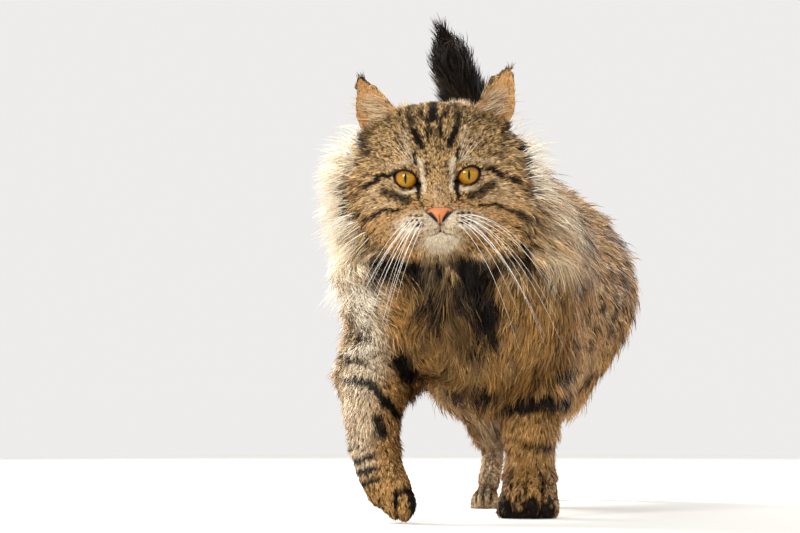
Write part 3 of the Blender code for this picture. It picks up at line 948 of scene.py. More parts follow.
def head_marks(at, dark, pale, warm):
    """The face in front, and stripes over the crown."""
    x, y, z = at.head.T
    share = HEAD_SHARE * ease(-68.0, -57.0, z)
    face = ease(38.0, 12.0, y)
    face_dark, face_pale, face_warm = face_marks(at.head, at.wobble)
    crown = ease(0.1, 0.6, np.sin(np.abs(x) * 0.33 + 2.0 + at.fine)) * 0.7
    dark = laid_over(dark, share, face_dark * face + crown * (1 - face))
    pale = laid_over(pale, share, face_pale * face)
    head_warm = np.clip(0.08 + 0.3 * ease(28.0, -10.0, z) + face_warm * face, 0, 1)
    return dark, pale, laid_over(warm, share, head_warm)


def ruff_marks(at, dark, pale):
    """The cream ruff behind each cheek, narrower on the left."""
    _, y, z = at.head.T
    out = at.head[:, 0] + 3.0 * at.fine
    left = ease(92.0, 99.0, out) * ease(116.0, 104.0, out) * ease(-36.0, -16.0, z)
    right = ease(72.0, 86.0, -out + 14.0 * ease(-10.0, 25.0, z)) * ease(-110.0, -80.0, z)
    ruff = np.where(out > 0, left, right) * ease(-8.0, 12.0, y) * ease(70.0, 40.0, y)
    ruff = ruff * (0.75 + 0.25 * at.fine) * ease(80.0, 40.0, y - 0.3 * z)
    return dark * (1 - 0.9 * ruff), np.maximum(pale, 0.93 * ruff)


def ear_marks(at, dark, pale, warm):
    """Dark tips, and a warm, plain hollow."""
    inside = ear_inside(at.points, at.normals)
    tips = 0.8 * ear_tips(at.head, TIP_REACH)
    dark = laid_over(dark, EAR_SHARE, np.maximum(0.15 * (1 - inside), tips * 0.8))
    warm = laid_over(warm, EAR_SHARE, 0.5 + 0.5 * inside)
    pale = laid_over(pale, EAR_SHARE, 0.15 * (1 - tips))
    return dark, pale, warm


def markings(points, normals):
    """Dark, pale and warm shares of the coat at each place on the skin, with painted shade and painted
    rim light among them.
    """
    at = Places(points, normals)
    dark, pale, warm = chest_marks(at, *trunk_marks(at))
    dark, pale = shoulder_rim_light(at, dark, pale)
    dark, pale, warm = foreleg_marks(at, dark, pale, warm)
    dark, pale, warm = hindleg_marks(at, dark, pale, warm)
    dark = toe_marks_and_shade(at, dark)
    dark = laid_over(dark, TAIL_SHARE, 0.86 + 0.12 * at.fine)
    pale = pale * (1 - TAIL_SHARE)
    warm = laid_over(warm, TAIL_SHARE, 0.4)
    dark, pale, warm = head_marks(at, dark, pale, warm)
    dark, pale = ruff_marks(at, dark, pale)
    dark, pale, warm = ear_marks(at, dark, pale, warm)
    pale = pale * (1 - 0.92 * np.clip(dark, 0, 1))
    return np.clip(np.stack([dark, pale, warm], axis=1), 0, 1)


def ear_inside(points, normals):
    """Near 1 on the bare hollow of each ear."""
    facing = ease(0.05, 0.5, -(normals @ HEAD_AXES.T)[:, 1])
    up, across = ear_place(to_head(points))
    return facing * EAR_SHARE * ease(0.24, 0.42, up + 0.25 * across) * ease(-0.05, 0.12, across)


skin_marks = markings(skin_points, skin_normals)
head_points = to_head(skin_points)


# ---------------------------------------------------------------- laying hair

# Steps along the guide of each hair.
STEPS = 4

# The nose leather's half width by height, in the head's frame.
NOSE_ROWS = (-37.2, -36.0, -34.5, -32.5, -30.5, -28.6, -27.2, -26.2, -25.0)
NOSE_HALVES = (1.2, 2.8, 4.2, 6.0, 7.9, 10.0, 10.9, 9.8, 6.5)


def guides(tree, points, normals, lie, length, height, hold, droop):
    """The path of the hair at every place on the skin, as offsets from its root."""
    face_normals = unit(normals[triangles].mean(axis=1))
    face_lie = lie[triangles].mean(axis=1)
    here = points.copy()
    way = unit(lie + normals * (height / np.maximum(length, 1))[:, None] * 1.2)
    offsets = [np.zeros_like(points)]
    down = np.array([0.0, 0.0, -1.0])
    for k in range(1, STEPS + 1):
        t = k / STEPS
        here = here + way * (length / STEPS)[:, None]
        rows = [tree.find_nearest(p) for p in here.tolist()]
        near = np.array([r[0] for r in rows])
        index = np.array([r[2] for r in rows])
        up = face_normals[index]
        rise = height * (1.0 - (1.0 - t) ** 1.7)
        target = near + up * rise[:, None]
        target[:, 2] = np.maximum(target[:, 2], 0.4)
        here = here + (target - here) * hold[:, None]
        run = face_lie[index]
        run = unit(run - up * (run * up).sum(axis=1, keepdims=True))
        way = unit(run + down * (droop * t)[:, None] + up * 0.12)
        offsets.append(here - points)
    return np.stack(offsets, axis=1)


def grown_guides():
    """Guides for the whole coat, laid on the skin and evened out between neighbours."""
    tree = surface_tree(skin_points, triangles)
    lie = lie_of_coat(skin_points, owner)
    lie = unit(spread(lie, edges, 12))
    tangent = lie - skin_normals * (lie * skin_normals).sum(axis=1, keepdims=True)
    tangent = unit(tangent + 1e-4)
    paths = guides(tree, skin_points, skin_normals, tangent, fields[:, LENGTH],
                   fields[:, DEPTH], fields[:, HOLD], fields[:, DROOP])
    return spread(paths.reshape(len(paths), -1), edges, 3).reshape(paths.shape)


def skin_map():
    """An unwrap of the skin's own shape, for the patches of the coat."""
    bpy.context.view_layer.objects.active = body
    body.select_set(True)
    body.data.uv_layers.new(name="OFBake")
    bpy.ops.object.mode_set(mode="EDIT")
    bpy.ops.mesh.select_all(action="SELECT")
    bpy.ops.uv.smart_project(angle_limit=math.radians(66), island_margin=0.002)
    bpy.ops.object.mode_set(mode="OBJECT")
    body.select_set(False)
    flat = np.empty(len(body.data.loops) * 2, np.float32)
    body.data.uv_layers["OFBake"].data.foreach_get("uv", flat)
    return flat.reshape(-1, 3, 2).astype(float)


# How wide a tuft's patch of the coat's map is, and the most triangles that the
# skin and a piece of the body's coat may have.
PATCH = 0.003
SKIN_TRIANGLES = 190000
PIECE_TRIANGLES = 195000


def sown(density):
    """Roots over the skin: their triangles and places in them."""
    corners = skin_points[triangles]
    area = np.linalg.norm(np.cross(corners[:, 1] - corners[:, 0],
                                   corners[:, 2] - corners[:, 0]), axis=1) / 2
    wanted = area * density[triangles].mean(axis=1)
    count = np.floor(wanted + rng.random(len(wanted))).astype(int)
    face = np.repeat(np.arange(len(triangles)), count)
    a, b = rng.random((2, len(face)))
    over = a + b > 1
    a, b = np.where(over, 1 - a, a), np.where(over, 1 - b, b)
    return face, np.stack([1 - a - b, a, b], axis=1)


def at_roots(values, face, share):
    """A value kept on the skin's corners, at the roots of the hairs."""
    picked = values[triangles[face]]
    shape = share.reshape(share.shape + (1,) * (picked.ndim - 2))
    return (picked * shape).sum(axis=1)


def leaders(roots, every):
    """Each hair's leader: the nearest of a chosen few."""
    chosen = rng.permutation(len(roots))[:max(len(roots) // every, 1)]
    tree = KDTree(len(chosen))
    for i, c in enumerate(chosen.tolist()):
        tree.insert(roots[c], i)
    tree.balance()
    return chosen[np.array([tree.find(p)[1] for p in roots.tolist()])]


# Kinds of blade: the steps of the guide that it keeps, and its width at each but the tip.
SHORT = ([0, 2, 4], [0.8, 1.0])
MEDIUM = ([0, 1, 3, 4], [0.7, 1.0, 0.75])
LONG = ([0, 1, 2, 3, 4], [0.7, 1.0, 0.95, 0.65])

# How deep a root is set in the skin, how high the hair keeps off the floor, the
# share of hairs that stand off, and how far a lock's hairs take its leader's colour.
ROOT_SINK = 0.3
HAIR_OFF_FLOOR = 0.3
STRAY = 0.07
LOCK_TINT = 0.75


def hair_lines(roots, up, side, path, length, every, gather, curl, stray):
    """Each hair's own line, drawn toward its lock's leader; the leaders; the locks' tones."""
    count = len(roots)
    stretch = rng.uniform(0.72, 1.12, count)
    sway = rng.normal(0, 0.10, count)
    lift = rng.normal(0.0, 0.05, count)
    lift += (rng.random(count) < stray) * rng.uniform(0.05, 0.30, count)
    leader = leaders(roots, every)
    lock_sway = rng.normal(0, 0.15, count)[leader]
    lock_phase = rng.uniform(0, math.tau, count)[leader]
    lock_tone = rng.random(count)[leader]
    lock_reach = rng.uniform(0.82, 1.1, count)[leader]
    lift += rng.uniform(-0.03, 0.07, count)[leader]
    t = np.linspace(0, 1, STEPS + 1)
    shape = path * (stretch * lock_reach)[:, None, None]
    swing = (sway + lock_sway)[:, None] * t ** 1.3
    swing = swing + curl * np.sin(t * 3.6 + lock_phase[:, None]) * t
    shape += side[:, None, :] * (swing * length[:, None])[:, :, None]
    shape += up[:, None, :] * ((lift * length)[:, None] * t ** 1.2)[:, :, None]
    line = roots[:, None, :] + shape
    pull = (t ** 1.5)[None, :, None] * gather * rng.uniform(0.4, 1.0, count)[:, None, None]
    line = line + (line[leader] - line) * pull
    line[:, :, 2] = np.maximum(line[:, :, 2], HAIR_OFF_FLOOR)
    line[:, 0] -= up * ROOT_SINK
    return line, leader, lock_tone


def blade_corners(line, up, side, width, kind):
    """Each hair as a tapered blade: pairs of corners up its edges, then the tip."""
    levels, taper = kind
    count = len(line)
    picked = line[:, levels]
    tangent = unit(np.gradient(picked, axis=1))
    twist = rng.normal(0, 0.45, count)
    face_up = unit(up + side * np.tan(np.clip(twist, -1.1, 1.1))[:, None])
    flat = unit(np.cross(tangent, face_up[:, None, :]))
    half = (width * rng.uniform(0.6, 1.25, count) / 2)[:, None] * np.array(taper)
    edge = flat[:, :-1] * half[:, :, None]
    corners = np.empty((count, 2 * len(levels) - 1, 3))
    corners[:, 0:-1:2] = picked[:, :-1] - edge
    corners[:, 1:-1:2] = picked[:, :-1] + edge
    corners[:, -1] = picked[:, -1]
    return corners


def blade_mesh(name, corners, patches):
    """Blades as one mesh: quads up each blade, a triangle at its tip, and its patch."""
    count, per = corners.shape[:2]
    quads = (per - 3) // 2
    around = [2 * k + corner for k in range(quads) for corner in (0, 1, 3, 2)]
    around = np.array(around + [per - 3, per - 2, per - 1])
    index = ((np.arange(count) * per)[:, None] + around).astype(np.int32).ravel()
    starts = (np.arange(count) * len(around))[:, None] + 4 * np.arange(quads + 1)
    mesh = bpy.data.meshes.new(name)
    mesh.vertices.add(count * per)
    mesh.vertices.foreach_set("co", (corners * MM).astype(np.float32).ravel())
    mesh.loops.add(len(index))
    mesh.loops.foreach_set("vertex_index", index)
    mesh.polygons.add(count * (quads + 1))
    mesh.polygons.foreach_set("loop_start", starts.astype(np.int32).ravel())
    layer = mesh.uv_layers.new(name="OFBake")
    flat = patches.reshape(-1, 2)[index]
    layer.data.foreach_set("uv", flat.astype(np.float32).ravel())
    return mesh


def blades(name, face, share, kind, every, gather, curl, path=None, tint=None,
           length=None, width=None, stray=STRAY):
    """One piece of the coat: tapered blades along the guides."""
    levels = kind[0]
    roots = at_roots(skin_points, face, share)
    up = unit(at_roots(skin_normals, face, share))
    path = at_roots(paths, face, share) if path is None else path
    tint = at_roots(marks, face, share) if tint is None else tint
    length = at_roots(fields[:, LENGTH], face, share) if length is None else length
    width = at_roots(fields[:, WIDTH], face, share) if width is None else width
    spots = (maps[face] * share[:, :, None]).sum(axis=1)
    side = unit(np.cross(unit(path[:, -1]), up))
    line, leader, lock_tone = hair_lines(roots, up, side, path, length, every, gather,
                                         curl, stray)
    tint = tint + (tint[leader] - tint) * LOCK_TINT
    corners = blade_corners(line, up, side, width, kind)
    count, per = corners.shape[:2]

    pairs = len(levels) - 1
    along = np.append(np.repeat(np.array(levels[:-1]) / STEPS, 2), 1.0)
    beside = np.append(np.tile([-0.5, 0.5], pairs), 0.0)
    patches = spots[:, None, :] + np.stack([beside, along - 0.5], axis=1) * PATCH
    mesh = blade_mesh(name, corners, patches)
    write_attribute(mesh, "marks", *np.repeat(tint, per, axis=0).T)
    write_attribute(mesh, "strand", np.tile(along, count), np.repeat(rng.random(count), per),
                    np.repeat(lock_tone, per))
    mesh.validate()
    mesh.update()
    smooth_shade(mesh)
    coats.append(link(name, mesh))


coats = []
paths = grown_guides()
maps = skin_map()
marks = markings(skin_points + 0.8 * paths[:, -1], skin_normals)

density = fields[:, DENSITY].copy()
opening = np.zeros(len(skin_points))
for name, centre in eye_centres.items():
    u, v, w = ((head_points - to_head(centre)) @ lid_frame(EYE_SIDES[name]).T).T
    near = by_lids(u, v, w)
    opening = np.maximum(opening, near * ease(1.17, 1.05, lid_shape(u, v)))
nose_reach = np.interp(head_points[:, 2], NOSE_ROWS, NOSE_HALVES, left=0.0, right=0.0)
leather = ease(1.2, -0.2, np.abs(head_points[:, 0]) - nose_reach) * (nose_reach > 0)
leather = leather * (head_points[:, 1] < -18)
mouth = mouth_line(head_points)
hollow = ear_inside(skin_points, skin_normals)
bare = np.maximum.reduce([opening, leather, mouth])
soles = ease(3.5, 1.0, skin_points[:, 2]) * ease(-0.3, -0.8, skin_normals[:, 2])
density *= (1 - np.clip(bare, 0, 1)) * (1 - soles) * (1 - 0.75 * hollow)

# Hair shorter than this takes the short, uncurled blades.
SHORT_HAIR = 12.5
LEAST_HAIRS = 50

face_of, share_of = sown(density)
root_owner = owner[triangles[face_of][:, 0]]
root_length = at_roots(fields[:, LENGTH], face_of, share_of)
short = root_length < SHORT_HAIR

# Regions of the coat: the nodes, the kind of blade for long hair, the hairs in a
# lock, how far they gather and how much they curl.
REGIONS = {
    "face": (FACE_NODES, LONG, 12, 0.62, 0.07),
    "ears": (EAR_NODES, MEDIUM, 12, 0.62, 0.07),
    "neck": (("neck",), LONG, 18, 0.62, 0.12),
    "chest": (("chest",), LONG, 18, 0.62, 0.12),
    "loin": (("loin",), MEDIUM, 12, 0.62, 0.07),
    "rump": (("rump",), MEDIUM, 12, 0.62, 0.07),
    "tail": (TAIL_NODES, MEDIUM, 8, 0.30, 0.07),
    "forelegs": (FORE_NODES, MEDIUM, 7, 0.35, 0.07),
    "hindlegs": (HIND_NODES, MEDIUM, 12, 0.45, 0.07),
}
SHORT_COAT = (SHORT, 5, 0.30, 0.0)
for region, (names, *long_coat) in REGIONS.items():
    mine = of_nodes(root_owner, names)
    for size, some, form in (("short", mine & short, SHORT_COAT),
                             ("long", mine & ~short, long_coat)):
        index = np.flatnonzero(some)
        if len(index) < LEAST_HAIRS:
            continue
        triangles_each = 2 * len(form[0][1]) - 1
        parts = math.ceil(len(index) * triangles_each / PIECE_TRIANGLES)
        for part in range(parts):
            mark = "_" + "abcdef"[part] if parts > 1 else ""
            chunk = index[part::parts]
            blades("coat_%s_%s%s" % (region, size, mark), face_of[chunk], share_of[chunk], *form)


def straight_paths(way, length, bend, bend_way):
    """Free hairs: straight out, then bending over."""
    t = np.linspace(0, 1, STEPS + 1)[None, :, None]
    line = way[:, None, :] * t + np.asarray(bend_way) * bend * t ** 2
    return line * length[:, None, None]


# The room past the solids' sides that the free hairs are shortened toward, before
# they sway and stretch.
FREE_REACH = 3.0


def free_hairs(name, density, way_of, length, width, tint, bend, bend_way, kind=LONG,
               gather=0.2, every=6):
    """Longer hairs that stand out of the coat, such as the fringe and the ears'."""
    face, share = sown(density)
    roots = at_roots(skin_points, face, share)
    count = len(roots)
    size = rng.uniform(*length, count)
    way = unit(way_of(to_head(roots)) + rng.normal(0, 0.16, (count, 3))) @ HEAD_AXES
    bend_way = np.asarray(bend_way) @ HEAD_AXES
    path = straight_paths(way, size, bend, bend_way)
    room = cad_bounds[1][0] / MM + FREE_REACH - np.abs(roots[:, 0])
    trim = np.clip(room / np.maximum(path[:, -1, 0] * np.sign(roots[:, 0]), 1e-3), 0.25, 1.0)
    path = path * trim[:, None, None]
    size = size * trim
    tints = np.tile(np.asarray(tint, float), (count, 1))
    tints[:, 1] *= rng.uniform(0.7, 1.0, count)
    blades(name, face, share, kind, every, gather, 0.04, path=path, tint=tints, length=size,
           width=np.full(count, width), stray=0.0)


# Where the free hairs behind the cheeks are sown, as a ring round the face.
hx, hy, hz = head_points.T
ruff_band = ease(58.0, 68.0, np.hypot(hx, hz * 0.8)) * ease(18.0, 28.0, hy) * ease(66.0, 50.0, hy)
ruff_band = ruff_band * (np.abs(hx) > 40) * ease(-80.0, -60.0, hz) * (1 - EAR_SHARE)
ruff_band = ruff_band * ease(50.0, 34.0, hz) * np.where(hx > 0, 0.45 * ease(-30.0, -8.0, hz), 0.85)


def fringe_way(head):
    """Out from the face all round, and back."""
    out = head * (1.0, 0.0, 1.0) + np.array([0.0, 0.0, 10.0])
    way = unit(out) * 0.85
    way[:, 1] = 0.42
    way[:, 2] += 0.10
    return way


tail_end = TAIL_SHARE * ease(-26.0, -8.0, skin_points[:, 2] - skin_points[:, 2].max())


def one_way(across, back, up):
    """The same way for every hair, in the head's frame."""
    return lambda head: np.tile((across, back, up), (len(head), 1))


def mirrored_way(across, back, up):
    """Out to each hair's own side."""
    return lambda head: np.stack([np.sign(head[:, 0]) * across, np.full(len(head), back),
                                  np.full(len(head), up)], axis=1)


free_hairs("coat_tail_tip", 0.8 * tail_end, one_way(-0.3, -0.25, 0.9), (14.0, 24.0), 0.7,
           (1.0, 0.0, 0.3), 0.15, (-0.5, -0.2, 0.2))
free_hairs("coat_fringe", 0.60 * ruff_band, fringe_way, (22.0, 42.0), 0.45,
           (0.0, 1.0, 0.2), 0.25, (0.0, 0.1, -1.0))

ear_up, ear_across = ear_place(head_points)
ear_inner = hollow * ease(0.72, 0.55, ear_up) * ease(0.0, 0.1, ear_across) * ease(0.7, 0.5, ear_across)

free_hairs("coat_ear_hair", 0.45 * ear_inner, mirrored_way(0.95, -0.22, 0.22), (10.0, 24.0), 0.32,
           (0.0, 0.6, 0.7), 0.25, (0.0, 0.5, 0.35))

ear_rim = EAR_SHARE * ease(52.0, 60.0, hz) * ease(0.75, 0.35, np.abs((skin_normals @ HEAD_AXES.T)[:, 1]))

ear_rim_way = mirrored_way(0.25, -0.1, 0.9)
free_hairs("coat_ear_rim", 1.2 * ear_rim * ease(74.0, 60.0, hz), ear_rim_way, (3.0, 8.0), 0.35,
           (0.0, 0.7, 0.3), 0.1, (0.0, 0.2, 0.2), kind=SHORT)
free_hairs("coat_ear_tips", 0.8 * EAR_SHARE * ear_tips(head_points, TIP_REACH), ear_rim_way,
           (3.0, 7.0), 0.30, (0.7, 0.0, 0.4), 0.1, (0.0, 0.2, 0.2), kind=SHORT)


# ------------------------------------------------------------------ materials

def new_material(name, roughness, **sockets):
    material = bpy.data.materials.new(name)
    material.use_nodes = True
    tree = material.node_tree
    shader = tree.nodes["Principled BSDF"]
    shader.inputs["Roughness"].default_value = roughness
    for key, value in sockets.items():
        shader.inputs[key.replace("_", " ")].default_value = value
    return material, tree, shader


def feed(tree, socket, value):
    if hasattr(value, "is_linked"):
        tree.links.new(value, socket)
    else:
        socket.default_value = value


def mixed(tree, share, low, high, blend="MIX"):
    node = tree.nodes.new("ShaderNodeMix")
    node.data_type = "RGBA"
    node.blend_type = blend
    for socket, value in ((node.inputs["Factor"], share), (node.inputs[6], low),
                          (node.inputs[7], high)):
        feed(tree, socket, value)
    return node.outputs[2]


def ramp(tree, value, stops):
    node = tree.nodes.new("ShaderNodeValToRGB")
    elements = node.color_ramp.elements
    while len(elements) < len(stops):
        elements.new(0.5)
    for element, (place, colour) in zip(elements, stops):
        element.position = place
        element.color = (*colour, 1.0)
    tree.links.new(value, node.inputs[0])
    return node.outputs[0]


def attribute(tree, name):
    node = tree.nodes.new("ShaderNodeAttribute")
    node.attribute_name = name
    split = tree.nodes.new("ShaderNodeSeparateColor")
    tree.links.new(node.outputs["Color"], split.inputs[0])
    return split.outputs


def sums(tree, kind, a, b, clamp=False):
    node = tree.nodes.new("ShaderNodeMath")
    node.operation = kind
    node.use_clamp = clamp
    for socket, value in zip(node.inputs, (a, b)):
        feed(tree, socket, value)
    return node.outputs[0]


def times(tree, a, b):
    return sums(tree, "MULTIPLY", a, b)


def plus(tree, a, b):
    return sums(tree, "ADD", a, b)


def minus(tree, a, b, clamp=False):
    return sums(tree, "SUBTRACT", a, b, clamp)


def object_place(tree):
    return tree.nodes.new("ShaderNodeTexCoord").outputs["Object"]


def speckle(tree, place, scale, detail):
    node = tree.nodes.new("ShaderNodeTexNoise")
    node.inputs["Scale"].default_value = scale
    node.inputs["Detail"].default_value = detail
    tree.links.new(place, node.inputs["Vector"])
    return node.outputs["Fac"]


def add_bump(tree, shader, height, strength, distance, invert=False):
    node = tree.nodes.new("ShaderNodeBump")
    node.inputs["Strength"].default_value = strength
    node.inputs["Distance"].default_value = distance
    node.invert = invert
    tree.links.new(height, node.inputs["Height"])
    tree.links.new(node.outputs[0], shader.inputs["Normal"])


DARK = (0.009, 0.006, 0.0045, 1.0)
PALE = (0.82, 0.72, 0.55, 1.0)
WHITE = (0.93, 0.92, 0.90, 1.0)
WARM = (0.62, 0.31, 0.085, 1.0)
# The bands of a hair, from its root to its tip.
AGOUTI = (
    (0.0, (0.030, 0.018, 0.010)),
    (0.26, (0.10, 0.062, 0.030)),
    (0.40, (0.92, 0.68, 0.36)),
    (0.78, (0.70, 0.45, 0.19)),
    (1.0, (0.030, 0.019, 0.011)),
)
MEAN_AGOUTI = (0.17, 0.12, 0.07, 1.0)
UNDER_WARM = (0.20, 0.095, 0.035, 1.0)
UNDER_PALE = (0.62, 0.52, 0.42, 1.0)
BARE_BLACK = (0.016, 0.011, 0.010, 1.0)
PLAIN = (1.0, 1.0, 1.0, 1.0)
# Painted shade from root to tip, darkest deep in the coat at the root; and tone from the darkest lock to
# the lightest, the dark locks partly painted shade between locks.
ROOT_PAINTED_SHADE = ((0.0, (0.30, 0.28, 0.26)), (0.5, (1.0, 1.0, 1.0)), (1.0, (0.85, 0.85, 0.85)))
LOCK_TONE_AND_SHADE = (
    (0.0, (0.16, 0.13, 0.11)),
    (0.28, (0.55, 0.51, 0.46)),
    (0.62, (1.0, 1.0, 1.0)),
    (1.0, (1.5, 1.47, 1.38)),
)


def coat_material():
    """Hair banded in black, tan and brown along its length, with painted shade toward the root, and
    darker or lighter by lock, partly painted shade between locks.
    """
    material, tree, shader = new_material("tabby_coat", 0.6, Specular_IOR_Level=0.12)
    dark, pale, warm = attribute(tree, "marks")
    along, tone, lock = attribute(tree, "strand")
    own = times(tree, minus(tree, tone, 0.45), 0.35)
    off = plus(tree, own, times(tree, minus(tree, lock, 0.45), 0.95))
    ground = ramp(tree, plus(tree, along, off), AGOUTI)
    # The tan darkens toward each hair's root: painted shade deep in the coat.
    tan = mixed(tree, 1.0, WARM, ramp(tree, along, ROOT_PAINTED_SHADE), "MULTIPLY")
    warmed = mixed(tree, times(tree, warm, 0.6), ground, tan)
    rough = times(tree, plus(tree, tone, lock), 0.35)
    edge = minus(tree, times(tree, dark, 1.75), rough, clamp=True)
    darkened = mixed(tree, edge, warmed, DARK)
    paled = mixed(tree, pale, darkened, PALE)
    white = times(tree, minus(tree, pale, 0.86, clamp=True), 7.0)
    paled = mixed(tree, white, paled, WHITE)
    # Each lock is darker or lighter at random, the dark locks partly painted shade between locks.
    shade = mixed(tree, times(tree, pale, 0.75), ramp(tree, lock, LOCK_TONE_AND_SHADE), PLAIN)
    final = mixed(tree, 1.0, paled, shade, "MULTIPLY")
    tree.links.new(final, shader.inputs["Base Color"])
    return material


def skin_material():
    """Under-coat in the coat's colours, with the ears' hollows and the lips bare."""
    material, tree, shader = new_material("tabby_skin", 0.72, Specular_IOR_Level=0.2)
    dark, pale, warm = attribute(tree, "marks")
    black, hollow, _ = attribute(tree, "bare")
    warmed = mixed(tree, times(tree, warm, 0.5), MEAN_AGOUTI, UNDER_WARM)
    paled = mixed(tree, pale, mixed(tree, dark, warmed, DARK), UNDER_PALE)
    place = object_place(tree)
    grain = speckle(tree, place, 900.0, 4.0)
    shade = ramp(tree, grain, ((0.3, (0.55, 0.55, 0.55)), (0.7, (1.1, 1.1, 1.1))))
    coated = mixed(tree, 1.0, paled, shade, "MULTIPLY")
    veins = speckle(tree, place, 120.0, 3.0)
    flesh = ramp(tree, veins, ((0.35, (0.40, 0.19, 0.06)), (0.65, (0.56, 0.30, 0.11))))
    final = mixed(tree, black, mixed(tree, hollow, coated, flesh), BARE_BLACK)
    tree.links.new(final, shader.inputs["Base Color"])
    add_bump(tree, shader, grain, 0.6, 0.0006)
    return material


def simplify(body, most):
    """Fewer faces under the long coat, and none fewer on the face, ears and paws."""
    keep = on_fine_parts(to_head(skin_points))
    group = body.vertex_groups.new(name="under_coat")
    group.add(np.flatnonzero(~keep).tolist(), 1.0, "REPLACE")
    fewer = body.modifiers.new("fewer", "DECIMATE")
    fewer.ratio = most / len(triangles)
    fewer.vertex_group = group.name
    simple = worked_in(body)
    body.modifiers.clear()
    body.data = simple
    body.vertex_groups.clear()


write_attribute(body.data, "marks", *skin_marks.T)
write_attribute(body.data, "bare", np.clip(np.maximum(opening, mouth), 0, 1), hollow)
simplify(body, SKIN_TRIANGLES)
body.data.materials.append(skin_material())
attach(body, "root")
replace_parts(body, *[n for n in NODE_NAMES if n not in BARE_NODES])
coat_finish = coat_material()
for piece in coats:
    piece.data.materials.append(coat_finish)
    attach(piece, "root")


# ----------------------------------------------------------------------- eyes

# The iris by share of the eyeball's radius, from its middle to the dark rim.
IRIS = (
    (0.0, (0.20, 0.15, 0.012)),
    (0.26, (0.38, 0.24, 0.012)),
    (0.60, (0.42, 0.19, 0.006)),
    (0.74, (0.20, 0.07, 0.003)),
    (0.82, (0.012, 0.008, 0.006)),
    (1.0, (0.008, 0.007, 0.007)),
)
SLIT_HALF_WIDTH = 0.095
SLIT_HALF_HEIGHT = 0.42
PUPIL = (0.001, 0.001, 0.001, 1.0)


def eye_place(tree, side, centre):
    """Across, up and along the gaze, in shares of the eyeball's radius."""
    gaze = Vector(lid_frame(side)[2] @ HEAD_AXES)
    node = tree.nodes.new("ShaderNodeMapping")
    node.vector_type = "TEXTURE"
    node.inputs["Location"].default_value = Vector(centre * MM)
    node.inputs["Rotation"].default_value = gaze.to_track_quat("Z", "Y").to_euler()
    node.inputs["Scale"].default_value = (EYE_RADIUS * MM,) * 3
    tree.links.new(object_place(tree), node.inputs["Vector"])
    split = tree.nodes.new("ShaderNodeSeparateXYZ")
    tree.links.new(node.outputs[0], split.inputs[0])
    return split.outputs


def iris_flecks(tree, radius, angle):
    """Light and dark rays round the iris."""
    rays = tree.nodes.new("ShaderNodeCombineXYZ")
    tree.links.new(times(tree, sums(tree, "SINE", angle, 0.0), 3.0), rays.inputs[0])
    tree.links.new(times(tree, sums(tree, "COSINE", angle, 0.0), 3.0), rays.inputs[1])
    tree.links.new(times(tree, radius, 1.2), rays.inputs[2])
    fleck = speckle(tree, rays.outputs[0], 5.0, 5.0)
    return ramp(tree, fleck, ((0.35, (0.50, 0.38, 0.28)), (0.62, (1.25, 1.15, 1.0))))


def eye_material(side, centre):
    """Amber iris with radial flecks and an upright slit, under a wet surface, with a painted shadow of
    the upper lid across its top.
    """
    material, tree, shader = new_material("iris_%s" % ("left" if side > 0 else "right"), 0.5,
                                          Coat_Weight=1.0, Coat_Roughness=0.02,
                                          Coat_IOR=1.38, Specular_IOR_Level=0.0)
    x, y, _ = eye_place(tree, side, centre)
    radius = sums(tree, "SQRT", plus(tree, times(tree, x, x), times(tree, y, y)), 0.0)
    flecks = iris_flecks(tree, radius, sums(tree, "ARCTAN2", y, x))
    iris = mixed(tree, 1.0, ramp(tree, radius, IRIS), flecks, "MULTIPLY")
    wide = sums(tree, "DIVIDE", x, SLIT_HALF_WIDTH)
    high = sums(tree, "DIVIDE", y, SLIT_HALF_HEIGHT)
    slit = plus(tree, times(tree, wide, wide), times(tree, high, high))
    pupil = ramp(tree, slit, ((0.85, (0.0, 0.0, 0.0)), (1.0, (1.0, 1.0, 1.0))))
    final = mixed(tree, pupil, PUPIL, iris)
    # Painted shadow of the upper lid across the top of the eyeball.
    shadow = ramp(tree, times(tree, plus(tree, y, 1.0), 0.5),
                  ((0.60, (1.0, 1.0, 1.0)), (0.80, (0.35, 0.30, 0.28))))
    final = mixed(tree, 1.0, final, shadow, "MULTIPLY")
    tree.links.new(final, shader.inputs["Base Color"])
    return material


def finished(name, mesh, material):
    """A small piece of the body: shaded, in its material, and riding on the root."""
    smooth_shade(mesh)
    mesh.materials.clear()
    mesh.materials.append(material)
    piece = link(name, mesh)
    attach(piece, "root")
    return piece


def to_mesh(bm, name, material):
    mesh = bpy.data.meshes.new(name)
    bm.to_mesh(mesh)
    bm.free()
    return finished(name, mesh, material)


def eyeball(name, centre, side):
    bm = bmesh.new()
    bmesh.ops.create_uvsphere(bm, u_segments=48, v_segments=24, radius=EYE_RADIUS * MM)
    gaze = Vector(lid_frame(side)[2] @ HEAD_AXES)
    bmesh.ops.transform(bm, matrix=gaze.to_track_quat("Z", "Y").to_matrix().to_4x4(), verts=bm.verts)
    bmesh.ops.translate(bm, vec=Vector(centre * MM), verts=bm.verts)
    return to_mesh(bm, name, eye_material(side, centre))


def tube(name, lines, radii, material):
    """Round tapered lines, closed at the ends."""
    curve = bpy.data.curves.new(name, "CURVE")
    curve.dimensions = "3D"
    curve.bevel_depth = MM
    curve.bevel_resolution = 1
    curve.use_fill_caps = True
    for line, sizes in zip(lines, radii):
        spline = curve.splines.new("POLY")
        spline.points.add(len(line) - 1)
        for point, place, size in zip(spline.points, line, sizes):
            point.co = (*(np.asarray(place) * MM), 1.0)
            point.radius = size
    source = bpy.data.objects.new(name + "_line", curve)
    bpy.context.scene.collection.objects.link(source)
    mesh = worked_in(source)
    bpy.data.objects.remove(source)
    return finished(name, mesh, material)


LID_STEPS = 48
LID_RIM_OUT = 0.5


